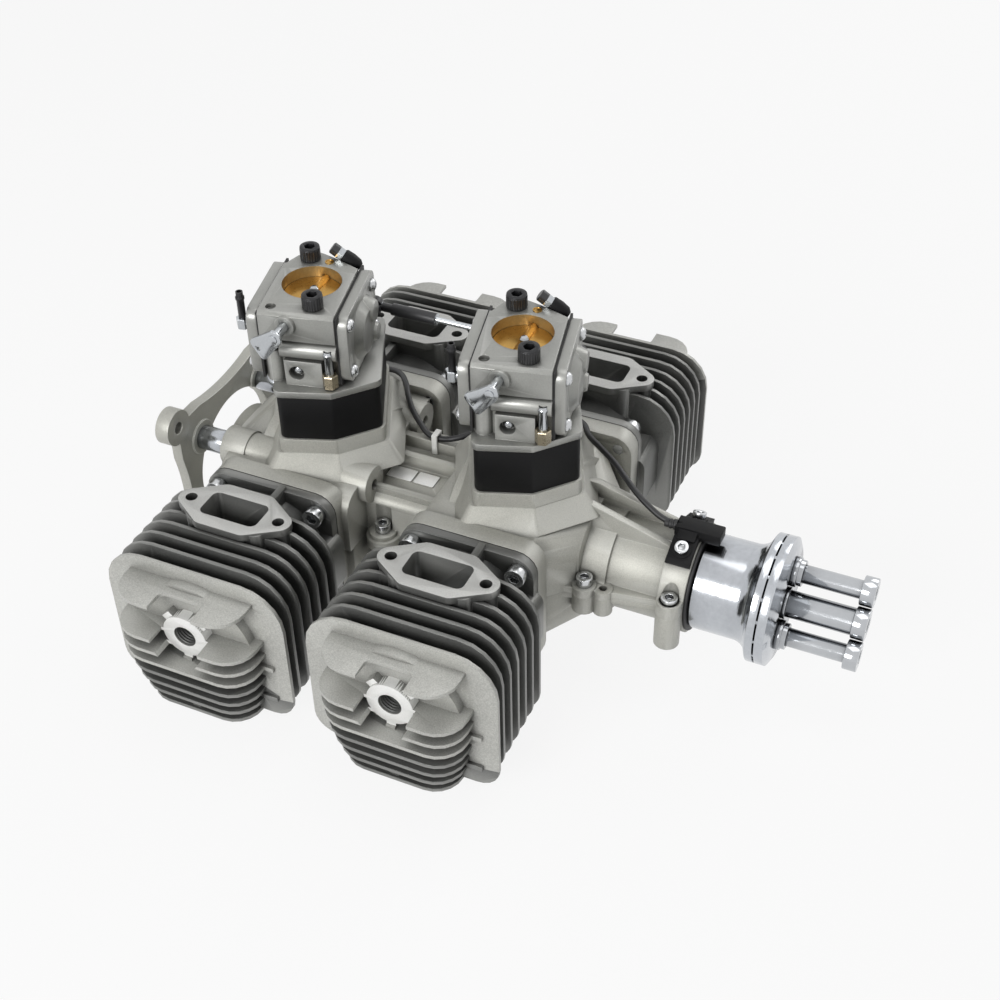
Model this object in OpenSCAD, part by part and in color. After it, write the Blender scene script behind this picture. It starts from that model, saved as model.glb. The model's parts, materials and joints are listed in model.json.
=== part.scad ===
// Four-cylinder opposed two-stroke model aircraft engine.
// Origin: centre of the firewall bolt pattern at the bracket's rear face, on the crankshaft axis.
// +X runs along the crankshaft to the propeller, +Z up to the carburettors, -Y is the near bank.

/* [Crank train] */
// Distance between the two cylinders of one bank
cylinder_pitch = 92; // [88:0.5:100]
// Offset of the far bank along the crankshaft
bank_stagger = 8.2; // [6:0.2:9]
// Cylinder bore
bore_d = 45; // [43:0.5:46]
// Piston stroke
stroke = 35; // [33:0.5:36]
// Connecting rod length between centres
rod_length = 62; // [61:0.5:64]
// Piston crown height above the gudgeon pin
crown_height = 22; // [21:0.5:23]
// Crankshaft web radius
web_r = 26; // [24:0.5:27]
// Front journal diameter
journal_d = 25; // [22:1:26]

/* [Crankcase] */
// Position of the crankcase rear face
case_rear_x = 18.5; // [16:0.5:22]
// Position of the rear cylinder of the near bank
first_cylinder_x = 55.5; // [55:0.5:60]
// Thickness of the crankcase front wall around the large bearing
front_wall_t = 13.9; // [12.5:0.1:16]
// Distance of the cylinder seats from the crank axis
seat_y = 46.5; // [45:0.5:48]
// Height of the carburettor pads
pad_z = 44; // [43:0.5:47]
// Crank chamber radius
chamber_r = 34.5; // [34:0.5:35]
// Nose length in front of the wall
nose_length = 46.3; // [43:0.1:50]
// Nose collar radius
collar_r = 23.5; // [22.5:0.5:26]

/* [Cylinders] */
// Half width of the barrel fins
fin_half_w = 41; // [38:0.5:44]
// Height of the barrel fins above the axis
fin_top_z = 33; // [30:0.5:34]
// Depth of the barrel fins below the axis
fin_low_z = 34; // [30:0.5:38]
// Number of barrel fins
fin_count = 7; // [5:1:8]
// Barrel fin pitch
fin_pitch = 7.05; // [6:0.05:7.2]
// Fin thickness
fin_t = 1.7; // [1.2:0.1:2.2]
// Number of head fins below the top one
head_fin_count = 7; // [5:1:7]
// Head fin pitch
head_fin_pitch = 6.8; // [6:0.1:7]
// Plug seat distance from the crank axis
plug_face = 120; // [118:0.5:122]
// Plug hole diameter
plug_d = 10; // [8:0.5:12]
// Exhaust port distance from the crank axis
port_y = 75.1; // [74:0.5:76]
// Height of the exhaust flange face
port_z = 37.9; // [37:0.5:40]
// Distance between the two exhaust screw holes
port_pitch = 41; // [40:0.5:42]

/* [Intake] */
// Height of the insulator block
block_h = 21.5; // [19:0.5:25]
// Turn of blocks and carburettors about the vertical
carb_turn = 13; // [0:1:20]
// Carburettor body height
carb_h = 37.1; // [35:0.1:40]
// Carburettor body width between the gaskets
carb_w = 32; // [30:0.5:34]
// Throat diameter
throat_d = 25; // [22:0.5:26]
// Position of the rear pad and insulator block
pad_rear_x = 61.5; // [60:0.5:63]
// Distance between the two pads
pad_pitch = 90.5; // [88:0.5:92]
// Position of the rear carburettor
carb_rear_x = 56; // [54:0.5:58]
// Position of the front carburettor
carb_front_x = 151.1; // [149:0.5:153]

/* [Mounting] */
// Distance between firewall holes
firewall_pitch = 81; // [78:1:84]
// Firewall hole diameter
firewall_hole_d = 5.5; // [4.5:0.5:6.5]
// Bracket thickness
bracket_t = 6.5; // [5:0.5:8]
// Bracket inner opening radius
bracket_open_r = 29.5; // [27:0.5:31]
// Distance between standoffs
standoff_pitch = 49; // [48:0.5:50]
// Standoff diameter
standoff_d = 11; // [10:0.5:12]

/* [Propeller drive] */
// Hub barrel radius
hub_r = 20.7; // [19.5:0.5:21.5]
// Hub flange radius
flange_r = 27.6; // [26:0.5:30]
// Hub barrel length
hub_length = 26; // [24:0.5:30]
// Propeller bolt circle diameter
prop_pcd = 26.8; // [26:0.5:30]
// Propeller bolt diameter
prop_bolt_d = 8; // [7:0.5:8]
// Free bolt length left for the propeller
prop_gap = 24.2; // [18:0.5:30]

/* [Hidden] */
$fn = 64;
e = 0.01;
run_gap = 0.05;
safe_gap = 0.3;
throw = stroke / 2;
half_stagger = bank_stagger / 2;
pair_rear_x = first_cylinder_x + half_stagger;
pair_front_x = pair_rear_x + cylinder_pitch;
pin_top = throw + rod_length;
crown_top = pin_top + crown_height;
pin_low = pin_top - stroke;
mid_web_t = 5;
outer_web_t = 6;
rod_w = 9;
rod_gap = 0.5;
gap_w = rod_w + 2 * rod_gap;
big_offset = mid_web_t / 2 + gap_w / 2;
rod_x0 = half_stagger - big_offset - rod_w / 2;
rod_swing = asin(throw / rod_length);
swing_gap = 0.8;
web_out = mid_web_t / 2 + gap_w + outer_web_t;
chamber_half = web_out + 1;
case_front_x = pair_front_x + chamber_half + front_wall_t;
big_r = 11;
crankpin_r = 5;
gudgeon_r = 5.5;
small_r = 9;
piston_r = bore_d / 2 - run_gap;
skirt_below = 14;
liner_r = bore_d / 2 + 2.4;
spigot_r = liner_r;
spigot_hole_r = liner_r + 0.2;
spigot_len = 10.5;
gasket_t = 0.5;
flange_y = seat_y + gasket_t;
flange_t = 4;
seat_half_x = 30;
seat_half_z = 32;
seat_top = 31.5;
seat_corner = 9;
seat_t = 8.5;
screw_x = 23.5;
screw_z = 25;
m5_r = 2.5;
m5_head_r = 4.25;
m5_head_h = 5;
m4_r = 2;
m4_head_r = 3.5;
m4_head_h = 4;
bore_top = crown_top + 1;
chamber_dome_r = bore_d / 2 - 5.5;
dome_top = bore_top + 5;
plug_z = 6.2;
plug_boss_r = 10;
outer_fin_y = 67.6 + 6 * 7.05;
head_root = outer_fin_y - 4;
barrel_r = bore_d / 2 + 5;
head_top_z = 25.5;
head_start_z = 6.7;
port_w = 26.5;
port_l = 14;
block_z = pad_z + block_h;
base_t = 3;
carb_top = block_z + carb_h;
nose_end = case_front_x + nose_length;
rear_journal_r = 8.5;
mid_journal_r = 10;
front_journal_r = journal_d / 2;
tip_journal_r = 10;
rear_bearing_x = 26;
rear_bearing_t = 12;
rear_bearing_r = 17.5;
mid_bearing_r = 17.5;
mid_bearing_t = 10;
front_bearing_r = 23.5;
front_bearing_t = 12;
tip_bearing_r = 18.5;
tip_bearing_t = 9;
race_t = 2.6;
front_bearing_x = case_front_x - front_bearing_t;
tip_bearing_x = nose_end - 22;
seal_x = nose_end - 7;
seal_t = 6.6;
seal_lip = 1.3;
hub_x = nose_end + seal_lip + safe_gap;
hub_flange_x = hub_x + hub_length;
hub_flange_t = 4.3;
drive_face = hub_flange_x + hub_flange_t;
washer_t = 5.2;
washer_face = drive_face + washer_t;
prop_angle = 52;
bracket_gap = 14;
boss_x = bracket_t + bracket_gap;
so = standoff_pitch / 2;
fw = firewall_pitch / 2;
hub_shaft_r = 9;

// A cylinder along X from x0 to x1
module xcyl(x0, x1, r) { translate([x0, 0, 0]) rotate([0, 90, 0]) cylinder(r = r, h = x1 - x0); }
// A cylinder along Y from y0 to y1
module ycyl(y0, y1, r) { translate([0, y0, 0]) rotate([-90, 0, 0]) cylinder(r = r, h = y1 - y0); }
// A cone along X
module xcone(x0, x1, r0, r1) { translate([x0, 0, 0]) rotate([0, 90, 0]) cylinder(r1 = r0, r2 = r1, h = x1 - x0); }
// A box from one corner to the other
module box(a, b) { translate(a) cube([b[0] - a[0], b[1] - a[1], b[2] - a[2]]); }
// Points of one rounded corner, and of a box with rounded lower and upper corners
corner_steps = 5;
function arc(x, y, r, a, b, n) = [for (k = [0 : n]) [x + r * cos(a + (b - a) * k / n), y + r * sin(a + (b - a) * k / n)]];
function corner(x, y, r, a) = arc(x, y, r, a, a + 90, corner_steps);
function round_points(x0, x1, y0, y1, rl, rt) = concat(corner(x1 - rt, y1 - rt, rt, 0), corner(x0 + rt, y1 - rt, rt, 90),
    corner(x0 + rl, y0 + rl, rl, 180), corner(x1 - rl, y0 + rl, rl, 270));
// A flat outline with rounded corners, standing in the XZ plane, from y0 to y1
module xz_plate(x0, x1, z0, z1, r_low, r_top, y0, y1) {
    translate([0, y1, 0]) rotate([90, 0, 0]) linear_extrude(y1 - y0) polygon(round_points(x0, x1, z0, z1, r_low, r_top));
}
// A flat outline with rounded corners lying in the XY plane
module xy_plate(x0, x1, y0, y1, r, z0, z1) {
    translate([0, 0, z0]) linear_extrude(z1 - z0) polygon(round_points(x0, x1, y0, y1, r, r));
}
// A socket head screw along -Z: seat at z = 0, head above
module socket_screw(r, head_r, head_h, length) {
    difference() {
        union() {
            cylinder(r = head_r, h = head_h);
            translate([0, 0, -length]) cylinder(r = r, h = length + e);
        }
        translate([0, 0, head_h * 0.45]) cylinder(r = head_r * 0.56, h = head_h, $fn = 6);
    }
}
// The six-sided outline shared by pads, insulators and carburettor flanges, with rounded corners
pad_corners = [[-8.2, -33], [14, -25], [28, -9], [8.2, 33], [-14, 25], [-28, 9]];
pad_round = 3.5;
function unit(v) = v / norm(v);
// Points of an outline grown by a distance, each corner rounded with the same radius
function grown(pts, d, r) = let (n = len(pts)) [for (i = [0 : n - 1]) let (
    a = unit(pts[i] - pts[(i + n - 1) % n]), b = unit(pts[(i + 1) % n] - pts[i]),
    na = [a[1], -a[0]], nb = [b[1], -b[0]], m = (na + nb) / (1 + na * nb),
    c = pts[i] + m * (d - r), t0 = atan2(na[1], na[0]), turn = acos(min(1, na * nb)))
    for (k = [0 : 4]) c + r * [cos(t0 + turn * k / 4), sin(t0 + turn * k / 4)]];
module pad_outline(grow) polygon(grown(pad_corners, grow, pad_round));
pad_xs = [pad_rear_x, pad_rear_x + pad_pitch];
module at_carb(x) { translate([x, 0, 0]) rotate([0, 0, carb_turn]) children(); }
carb_xs = [carb_rear_x, carb_front_x];
pair_xs = [pair_rear_x, pair_front_x];
// Places children drawn for a near cylinder at a station of either bank
module near_at(x) { translate([x - half_stagger, 0, 0]) children(); }
module far_at(x) { translate([x + half_stagger, 0, 0]) rotate([0, 0, 180]) children(); }
module all_stations() { for (x = pair_xs) { near_at(x) children(); far_at(x) children(); } }
module seat_outline(y0, y1) { xz_plate(-seat_half_x, seat_half_x, -seat_half_z, seat_top, seat_corner, seat_corner, y0, y1); }
module seat_holes(y0, y1, r) { for (x = [-screw_x, screw_x], z = [-screw_z, screw_z]) translate([x, 0, z]) ycyl(y0, y1, r); }

// Points of one side of a cross section, followed by the same points on the other side
function mirrored(pts) = concat(pts, [for (k = [len(pts) - 1 : -1 : 0]) [-pts[k][0], pts[k][1]]]);
function section(w, h, r) = mirrored(concat([[w, 0]], arc(w - r, h - r, r, 0, 90, 6)));
// A solid between two cross sections that have the same number of points
module loft(x0, a, x1, b) {
    n = len(a);
    pts = concat([for (p = a) [x0, p[0], p[1]]], [for (p = b) [x1, p[0], p[1]]]);
    sides = [for (k = [0 : n - 1]) each [[k, n + k, (k + 1) % n], [(k + 1) % n, n + k, n + (k + 1) % n]]];
    polyhedron(points = pts, faces = concat([[for (k = [0 : n - 1]) k]], sides, [[for (k = [n - 1 : -1 : 0]) n + k]]));
}
module prism(x0, x1, pts) { translate([x0, 0, 0]) rotate([90, 0, 90]) linear_extrude(x1 - x0) polygon(pts); }
function flipped(pts) = [for (k = [len(pts) - 1 : -1 : 0]) [pts[k][0], -pts[k][1]]];
shoulder_z = 28;
drum_r = chamber_r + 3.5;
flare_z = pad_z - 7;
flare_h = 9;
// Outside of the crankcase, both halves in one
module case_body() {
    x0 = case_rear_x;
    wide = section(43, shoulder_z, 9);
    end = section(25.5, 25.5, 17);
    deep = section(41, 31, 15);
    shallow = section(25.5, 25.5, 18);
    for (x = pair_xs) {
        front = x > pair_rear_x + 1;
        a = front ? x - 30 : x0 + 7;
        b = front ? case_front_x - 15 : x + 29;
        prism(a, b, wide);
        prism(a, b, flipped(deep));
        xcyl(x - chamber_half - 4, x + chamber_half + 4, drum_r);
    }
    loft(x0, end, x0 + 7 + e, wide);
    loft(x0, flipped(shallow), x0 + 7 + e, flipped(deep));
    loft(case_front_x - 15 - e, wide, case_front_x + 1, end);
    loft(case_front_x - 15 - e, flipped(deep), case_front_x + 1, flipped(shallow));
    // floor and walls of the pocket between the two housings
    prism(pair_rear_x + 29 - e, pair_front_x - 30 + e, section(27, 20, 5));
    prism(pair_rear_x + 29 - e, pair_front_x - 30 + e, flipped(section(27, 30, 14)));
    for (y = [-22, -1, 12]) box([pair_rear_x + 28, y - 1.6, 0], [pair_front_x - 29, y + 1.6, y < -20 ? 23 : 26]);
    for (x = [pair_rear_x + 31.5, pair_rear_x + 44.5]) xy_plate(x, x + (x > pair_rear_x + 40 ? 9.5 : 12), -12.4, -4.8, 0.6, 19, 20.6);
    box([pair_rear_x + 36, 4.5, 19], [pair_rear_x + 50, 6.5, 20.6]);
    xcyl(bracket_t + 5, x0 + e, 23);
    for (y = [-so, so], z = [-so, so]) translate([0, y, z]) {
        xcyl(boss_x, boss_x + 12, 8.9);
        xcyl(boss_x + 12 - e, pair_rear_x + 32.5, 8.2);
    }
    all_stations() seat_outline(-seat_y, -seat_y + seat_t);
    for (x = pad_xs) translate([x, 0, 0]) {
        translate([0, 0, 20]) linear_extrude(pad_z - 20) pad_outline(1);
        translate([0, 0, flare_z - flare_h]) linear_extrude(flare_h, scale = 0.8) pad_outline(8.5);
    }
    // nose with its collar and split flanges
    xcyl(case_front_x - e, case_front_x + 12.2, 23);
    xcyl(case_front_x + 12, nose_end - 10.5, 21.3);
    xcyl(nose_end - 11.2, nose_end, collar_r);
    linear_flange();
    for (y = [-8, 5.5]) translate([0, y + 1.5, 0]) rotate([90, 0, 0]) linear_extrude(3)
        polygon([[case_front_x - 6, 0], [case_front_x - 6, 33], [case_front_x - 1, 33],
            [nose_end - 11, y < 0 ? 21.5 : 22.8], [nose_end - 11, 0]]);
}
ear_x = 97;
ear_y = 28.5;
module linear_flange() {
    translate([0, 0, -3]) linear_extrude(6)
        polygon([[case_front_x - 8, -31], [case_front_x + 8, -27.5], [nose_end - 12, -23], [nose_end, -24],
            [nose_end, 24], [nose_end - 12, 23], [case_front_x + 8, 27.5], [case_front_x - 8, 31]]);
    for (s = [-1, 1]) {
        translate([case_front_x + 4.5, 26 * s, -9]) cylinder(r = 5.2, h = 13);
        translate([case_front_x + 12.5, 25 * s, -9]) cylinder(r = 4.2, h = 12.4);
        translate([nose_end - 5.5, 24 * s, -17]) cylinder(r = 5.4, h = 21);
        difference() {
            translate([nose_end - 5.5, 24 * s, 3]) cylinder(r = 5.4, h = 3.2);
            translate([nose_end - 5.5, 24 * s, 4]) cylinder(r = 4.2, h = 3);
        }
        translate([0, 0, -3]) linear_extrude(5) polygon(concat(arc(ear_x, ear_y * s, 7.5, s > 0 ? 0 : 180, s > 0 ? 180 : 360, 12),
            [[s > 0 ? ear_x - 14 : ear_x + 14, 20 * s], [s > 0 ? ear_x + 14 : ear_x - 14, 20 * s]]));
        translate([ear_x, ear_y * s, -9]) cylinder(r = 6, h = 13);
    }
}
screw_spots = [[ear_x, -ear_y], [ear_x, ear_y], [case_front_x + 4.5, -26], [case_front_x + 4.5, 26], [nose_end - 5.5, -24],
    [nose_end - 5.5, 24]];
// Everything hollow inside the crankcase
module case_hollow() {
    for (x = pair_xs) {
        xcyl(x - chamber_half, x + chamber_half, chamber_r);
    }
    xcyl(bracket_t + 5 + 3, pair_front_x, mid_journal_r + 3);
    xcyl(rear_bearing_x, pair_rear_x, rear_bearing_r);
    xcyl(pair_rear_x, pair_rear_x + chamber_half + mid_bearing_t, mid_bearing_r);
    xcyl(pair_front_x - chamber_half - mid_bearing_t, pair_front_x, mid_bearing_r);
    xcyl(pair_front_x, front_bearing_x + front_bearing_t, front_bearing_r);
    xcyl(front_bearing_x, nose_end + e, front_journal_r + 1.5);
    xcyl(tip_bearing_x, nose_end + e, tip_bearing_r);
    all_stations() {
        ycyl(-seat_y - e, -seat_y + 18, spigot_hole_r);
        seat_holes(-seat_y - e, -seat_y + 10, m5_r);
        for (s = [-1, 1]) translate([0, rod_length * cos(rod_swing) - pin_top, s * rod_length * sin(rod_swing)])
            xcyl(rod_x0 - rod_gap, rod_x0 + rod_w + rod_gap, big_r + swing_gap);
    }
    for (x = pad_xs) at_carb(x) box([-15, -13, 22], [15, 13, pad_z + e]);
    for (y = [-so, so], z = [-so, so]) translate([0, y, z]) {
        xcyl(case_rear_x - 1, boss_x, standoff_d / 2 + safe_gap);
        xcyl(boss_x - e, boss_x + 16, m5_r);
        xcyl(pair_rear_x + 32.5 - 9, pair_rear_x + 32.5 + e, m5_r);
    }
    for (p = screw_spots) translate([p[0], p[1], -12]) {
        cylinder(r = m4_r, h = 24);
        translate([0, 0, 16]) cylinder(r = m4_head_r + 0.6, h = 12);
    }
    for (s = [-1, 1]) at_sensor(s) translate([0, 0, collar_r - 4.6]) cylinder(r = 1.5, h = 6);
    translate([case_front_x + 12.5, -25, -12]) cylinder(r = 1.7, h = 24);
    for (x = carb_xs) at_carb(x) for (s = [-1, 1]) translate([5.8 * s, -18 * s, pad_z - 9.5]) cylinder(r = m5_r, h = 10);
}
module crankcase_upper() color([0.72, 0.73, 0.75]) difference() {
    intersection() { case_body(); box([0, -60, 0], [300, 60, 60]); }
    case_hollow();
}
module crankcase_lower() color([0.7, 0.71, 0.73]) difference() {
    intersection() { case_body(); box([0, -60, -60], [300, 60, 0]); }
    case_hollow();
}
module case_screws() color([0.8, 0.8, 0.8]) {
    for (p = screw_spots) translate([p[0], p[1], 4]) socket_screw(m4_r - 0.02, m4_head_r, m4_head_h, 12);
    for (s = [-1, 1]) at_sensor(s) translate([0, 0, sensor_pad_r]) socket_screw(1.48, 2.9, 2.4, 6.5);
}

// Crankshaft and its bearings
module race(x, t, r_in, r_out) { difference() { xcyl(x, x + t, r_out); xcyl(x - 1, x + t + 1, r_in); } }
mid_a = pair_rear_x + chamber_half;
mid_b = pair_front_x - chamber_half - mid_bearing_t;
bearings = [[rear_bearing_x, rear_bearing_t, rear_bearing_r, rear_journal_r], [mid_a, mid_bearing_t, mid_bearing_r, mid_journal_r],
    [mid_b, mid_bearing_t, mid_bearing_r, mid_journal_r], [front_bearing_x, front_bearing_t, front_bearing_r, front_journal_r],
    [tip_bearing_x, tip_bearing_t, tip_bearing_r, tip_journal_r]];
module bearing_outer_rings() color([0.75, 0.76, 0.78])
    for (b = bearings) race(b[0], b[1], b[2] - race_t, b[2]);
module bearing_inner_rings() color([0.75, 0.76, 0.78])
    for (b = bearings) race(b[0], b[1], b[3], b[3] + race_t);
module shaft_seal() color([0.06, 0.06, 0.06]) {
    race(seal_x, nose_end + seal_lip - seal_x, tip_journal_r + safe_gap, tip_bearing_r);
    race(nose_end, seal_lip, tip_journal_r + safe_gap, 22.4);
}
module crankshaft() color([0.62, 0.63, 0.66]) {
    xcyl(rear_bearing_x - 6, pair_rear_x - mid_web_t / 2 - gap_w, rear_journal_r);
    xcyl(pair_rear_x + mid_web_t / 2 + gap_w, pair_front_x - mid_web_t / 2 - gap_w, mid_journal_r);
    xcyl(pair_front_x + mid_web_t / 2 + gap_w, case_front_x + 4, front_journal_r);
    xcyl(case_front_x + 3, hub_x, tip_journal_r);
    difference() {
        xcyl(hub_x, drive_face - 2, hub_shaft_r);
        xcyl(drive_face - 18, drive_face, centre_bolt_r);
    }
    for (x = pair_xs) {
        xcyl(x - web_out, x - web_out + outer_web_t, web_r);
        xcyl(x - mid_web_t / 2, x + mid_web_t / 2, web_r);
        xcyl(x + web_out - outer_web_t, x + web_out, web_r);
    }
}

// Rod, pin, piston and rings, drawn for a near cylinder with the gudgeon pin at y = -pin_y
module rod(pin_y) color([0.5, 0.5, 0.52]) {
    big_y = pin_y - rod_length;
    x0 = rod_x0;
    difference() {
        union() {
            translate([0, -big_y, 0]) xcyl(x0, x0 + rod_w, big_r);
            translate([0, -pin_y, 0]) xcyl(x0, x0 + rod_w, small_r);
            box([x0 + 2, -pin_y + 4, -5.5], [x0 + rod_w - 2, -big_y - 6, 5.5]);
        }
        translate([0, -big_y, 0]) xcyl(x0 - 1, x0 + rod_w + 1, crankpin_r);
        translate([0, -pin_y, 0]) xcyl(x0 - 1, x0 + rod_w + 1, gudgeon_r + run_gap);
        box([x0 + 1, -pin_y + 11, -3.5], [x0 + 3.2, -big_y - 12.5, 3.5]);
        box([x0 + rod_w - 3.2, -pin_y + 11, -3.5], [x0 + rod_w - 1, -big_y - 12.5, 3.5]);
    }
}
module crankpin(pin_y) color([0.7, 0.7, 0.72]) {
    x0 = -big_offset + half_stagger - gap_w / 2 + safe_gap;
    translate([0, rod_length - pin_y, 0]) xcyl(x0, x0 + gap_w - 2 * safe_gap, crankpin_r);
}
module gudgeon(pin_y) color([0.7, 0.7, 0.72]) translate([0, -pin_y, 0]) race(-19, 38, 3, gudgeon_r);
module piston(pin_y) color([0.68, 0.69, 0.7]) {
    top = pin_y + crown_height;
    low = pin_y - skirt_below;
    difference() {
        ycyl(-top, -low, piston_r);
        difference() {
            ycyl(-top + 5, -low + 1, piston_r - 3);
            for (s = [-1, 1]) translate([0, -pin_y, 0]) xcyl(min(9.5 * s, 22 * s), max(9.5 * s, 22 * s), 8.5);
        }
        translate([0, -pin_y, 0]) xcyl(-30, 30, gudgeon_r);
        for (k = [0, 1]) difference() {
            ycyl(-top + 2.5 + 3.5 * k, -top + 4 + 3.5 * k, piston_r + 1);
            ycyl(-top + 2, -top + 8, piston_r - 2);
        }
    }
}
module piston_rings(pin_y) color([0.35, 0.35, 0.37]) {
    top = pin_y + crown_height;
    for (k = [0, 1]) difference() {
        ycyl(-top + 2.5 + 3.5 * k, -top + 4 + 3.5 * k, piston_r);
        ycyl(-top + 2, -top + 9, piston_r - 1.9);
        translate([0, -top + 3, piston_r - 1]) cube([0.6, 12, 4], center = true);
    }
}

// One cylinder with barrel, fins and head in a single casting, drawn for the near bank
module head_fin(z, w, front, root) {
    r = min(head_round, front - root - 1.5);
    translate([0, 0, z - fin_t / 2]) linear_extrude(fin_t) polygon(round_points(-w, w, -front, -root, r, 0.8));
}
head_round = 12.5;
module cylinder_casting() color([0.7, 0.71, 0.72]) {
    difference() {
        union() {
            seat_outline(-flange_y - flange_t, -flange_y);
            ycyl(-flange_y, -flange_y + spigot_len, spigot_r);
            ycyl(-head_root, -flange_y, barrel_r);
            ycyl(-outer_fin_y - 5, -head_root + e, barrel_r + 0.5);
            for (k = [0 : fin_count - 1]) {
                y = outer_fin_y - k * fin_pitch;
                drop = k == 0 ? 0 : 1.2;
                xz_plate(-fin_half_w + drop, fin_half_w - drop, -fin_low_z + drop, fin_top_z + drop, 10, 18,
                    -y - fin_t / 2, -y + fin_t / 2);
            }
            // transfer bulges at both sides and below
            for (s = [-1, 1]) xz_plate(s * 24 - 9, s * 24 + 9, -14, 14, 5, 5, -67, -flange_y - 1);
            xz_plate(-12, 12, -32, -20, 4, 4, -67, -flange_y - 1);
            // head fins
            head_fin(head_top_z, 28.2, 128, outer_fin_y - 1);
            for (k = [0 : head_fin_count - 1]) head_fin(head_start_z - k * head_fin_pitch, 31 - 0.16 * k * k,
                128.4 - 0.17 * k * k, outer_fin_y - 1);
            box([-2, -121, -34], [2, -outer_fin_y, 1]);
            for (z = [-25, -8]) box([fin_half_w - 13, -outer_fin_y - 2.4, z], [fin_half_w - 6.5, -outer_fin_y, z + 2.2]);
            translate([0, 0, plug_z]) ycyl(-plug_face, -outer_fin_y, plug_boss_r);
            translate([0, 0, plug_z]) for (a = [45 : 90 : 315]) rotate([0, a, 0])
                box([7, -plug_face + 1.2, -2.4], [12.2, -outer_fin_y, 2.4]);
            // exhaust duct and flange
            xy_plate(-18, 18, -port_y - 11, -port_y + 11, 4, 16, port_z - 1);
            translate([0, -port_y, port_z - 3.4]) linear_extrude(3.4) polygon(concat(
                arc(port_pitch / 2, 0, 5.5, -65, 65, 10), arc(9, 7.5, 5.5, 65, 90, 2), arc(-9, 7.5, 5.5, 90, 115, 2),
                arc(-port_pitch / 2, 0, 5.5, 115, 245, 10), arc(-9, -7.5, 5.5, 245, 270, 2), arc(9, -7.5, 5.5, 270, 295, 2)));
            for (s = [-1, 1]) translate([s * port_pitch / 2, -port_y, port_z - 12]) cylinder(r = 5, h = 11);
            box([5.5, -70, 22], [8.5, -flange_y - 2, 33]);
        }
        ycyl(-bore_top, -flange_y + spigot_len + 1, bore_d / 2);
        ycyl(-dome_top, -bore_top + 1, chamber_dome_r);
        translate([0, 0, plug_z]) ycyl(-plug_face - 12, -dome_top + 1, plug_d / 2);
        translate([0, 0, plug_z]) ycyl(-plug_face - 12, -plug_face, plug_boss_r + 1.2);
        // the notch of the top head fin above the plug
        translate([0, 0, head_top_z - 3]) linear_extrude(10) polygon(round_points(-9, 11, -140, -plug_face + 1.5, 3, 3));
        xy_plate(-port_w / 2, port_w / 2, -port_y - port_l / 2, -port_y + port_l / 2, 3, 12, port_z + 1);
        for (s = [-1, 1]) {
            translate([s * port_pitch / 2, -port_y, port_z - 10]) cylinder(r = m5_r, h = 12);
            xz_plate(s * 23.5 - 4, s * 23.5 + 4, -8, 8, 3, 3, -66 + 1, -flange_y + spigot_len + 1);
        }
        seat_holes(-flange_y - flange_t - 1, -flange_y + 1, m5_r + 0.25);
        // room for the heads of the base screws
        for (x = [-screw_x, screw_x], z = [-screw_z, screw_z]) translate([x, 0, z])
            ycyl(-flange_y - flange_t - 12, -flange_y - flange_t, m5_head_r + 0.6);
    }
}
module gaskets() color([0.12, 0.12, 0.12]) {
    all_stations() difference() {
        seat_outline(-flange_y, -seat_y);
        ycyl(-flange_y - 1, -seat_y + 1, spigot_hole_r);
        seat_holes(-flange_y - 1, -seat_y + 1, m5_r + 0.25);
    }
    for (x = carb_xs) at_carb(x) for (s = [-1, 1])
        box([min(s * carb_w / 2, s * (carb_w / 2 + 1)), carb_low_y + 1, block_z + 4],
            [max(s * carb_w / 2, s * (carb_w / 2 + 1)), carb_high_y - 1, carb_top - 1.5]);
}
module cylinder_screws() color([0.82, 0.82, 0.82]) all_stations()
    for (x = [-screw_x, screw_x], z = [-screw_z, screw_z])
        translate([x, -flange_y - flange_t, z]) rotate([90, 0, 0]) socket_screw(m5_r - 0.02, m5_head_r, m5_head_h, 13);

// Intake: reed blocks in the pads, insulators and carburettors
carb_low_y = -25;
carb_high_y = 20;
module reed_blocks() color([0.1, 0.1, 0.1]) for (x = pad_xs) at_carb(x) difference() {
    union() {
        box([-14.8, -12.8, pad_z - 3], [14.8, 12.8, pad_z]);
        translate([-13.5, 0, pad_z - 3]) rotate([90, 0, 90]) linear_extrude(27) polygon([[-10, 0], [10, 0], [2, -8], [-2, -8]]);
    }
    translate([-12, 0, pad_z + e]) rotate([90, 0, 90]) linear_extrude(24) polygon([[-8, 0], [8, 0], [1, -9], [-1, -9]]);
    for (x2 = [-6, 6]) box([x2 - 4.5, -20, pad_z - 8.5], [x2 + 4.5, 20, pad_z - 4.5]);
}
module carb_bolt_spots() for (x = carb_xs) at_carb(x) for (s = [-1, 1]) translate([5.8 * s, -18 * s, 0]) children();
module insulator_blocks() color([0.07, 0.07, 0.075]) difference() {
    for (x = pad_xs) translate([x, 0, pad_z]) linear_extrude(block_h) pad_outline(0);
    for (x = carb_xs) at_carb(x) translate([0, 0, pad_z - 1]) cylinder(r = 12, h = block_h + 2);
    carb_bolt_spots() translate([0, 0, pad_z - 1]) cylinder(r = m5_r + 0.25, h = block_h + 2);
}
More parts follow.
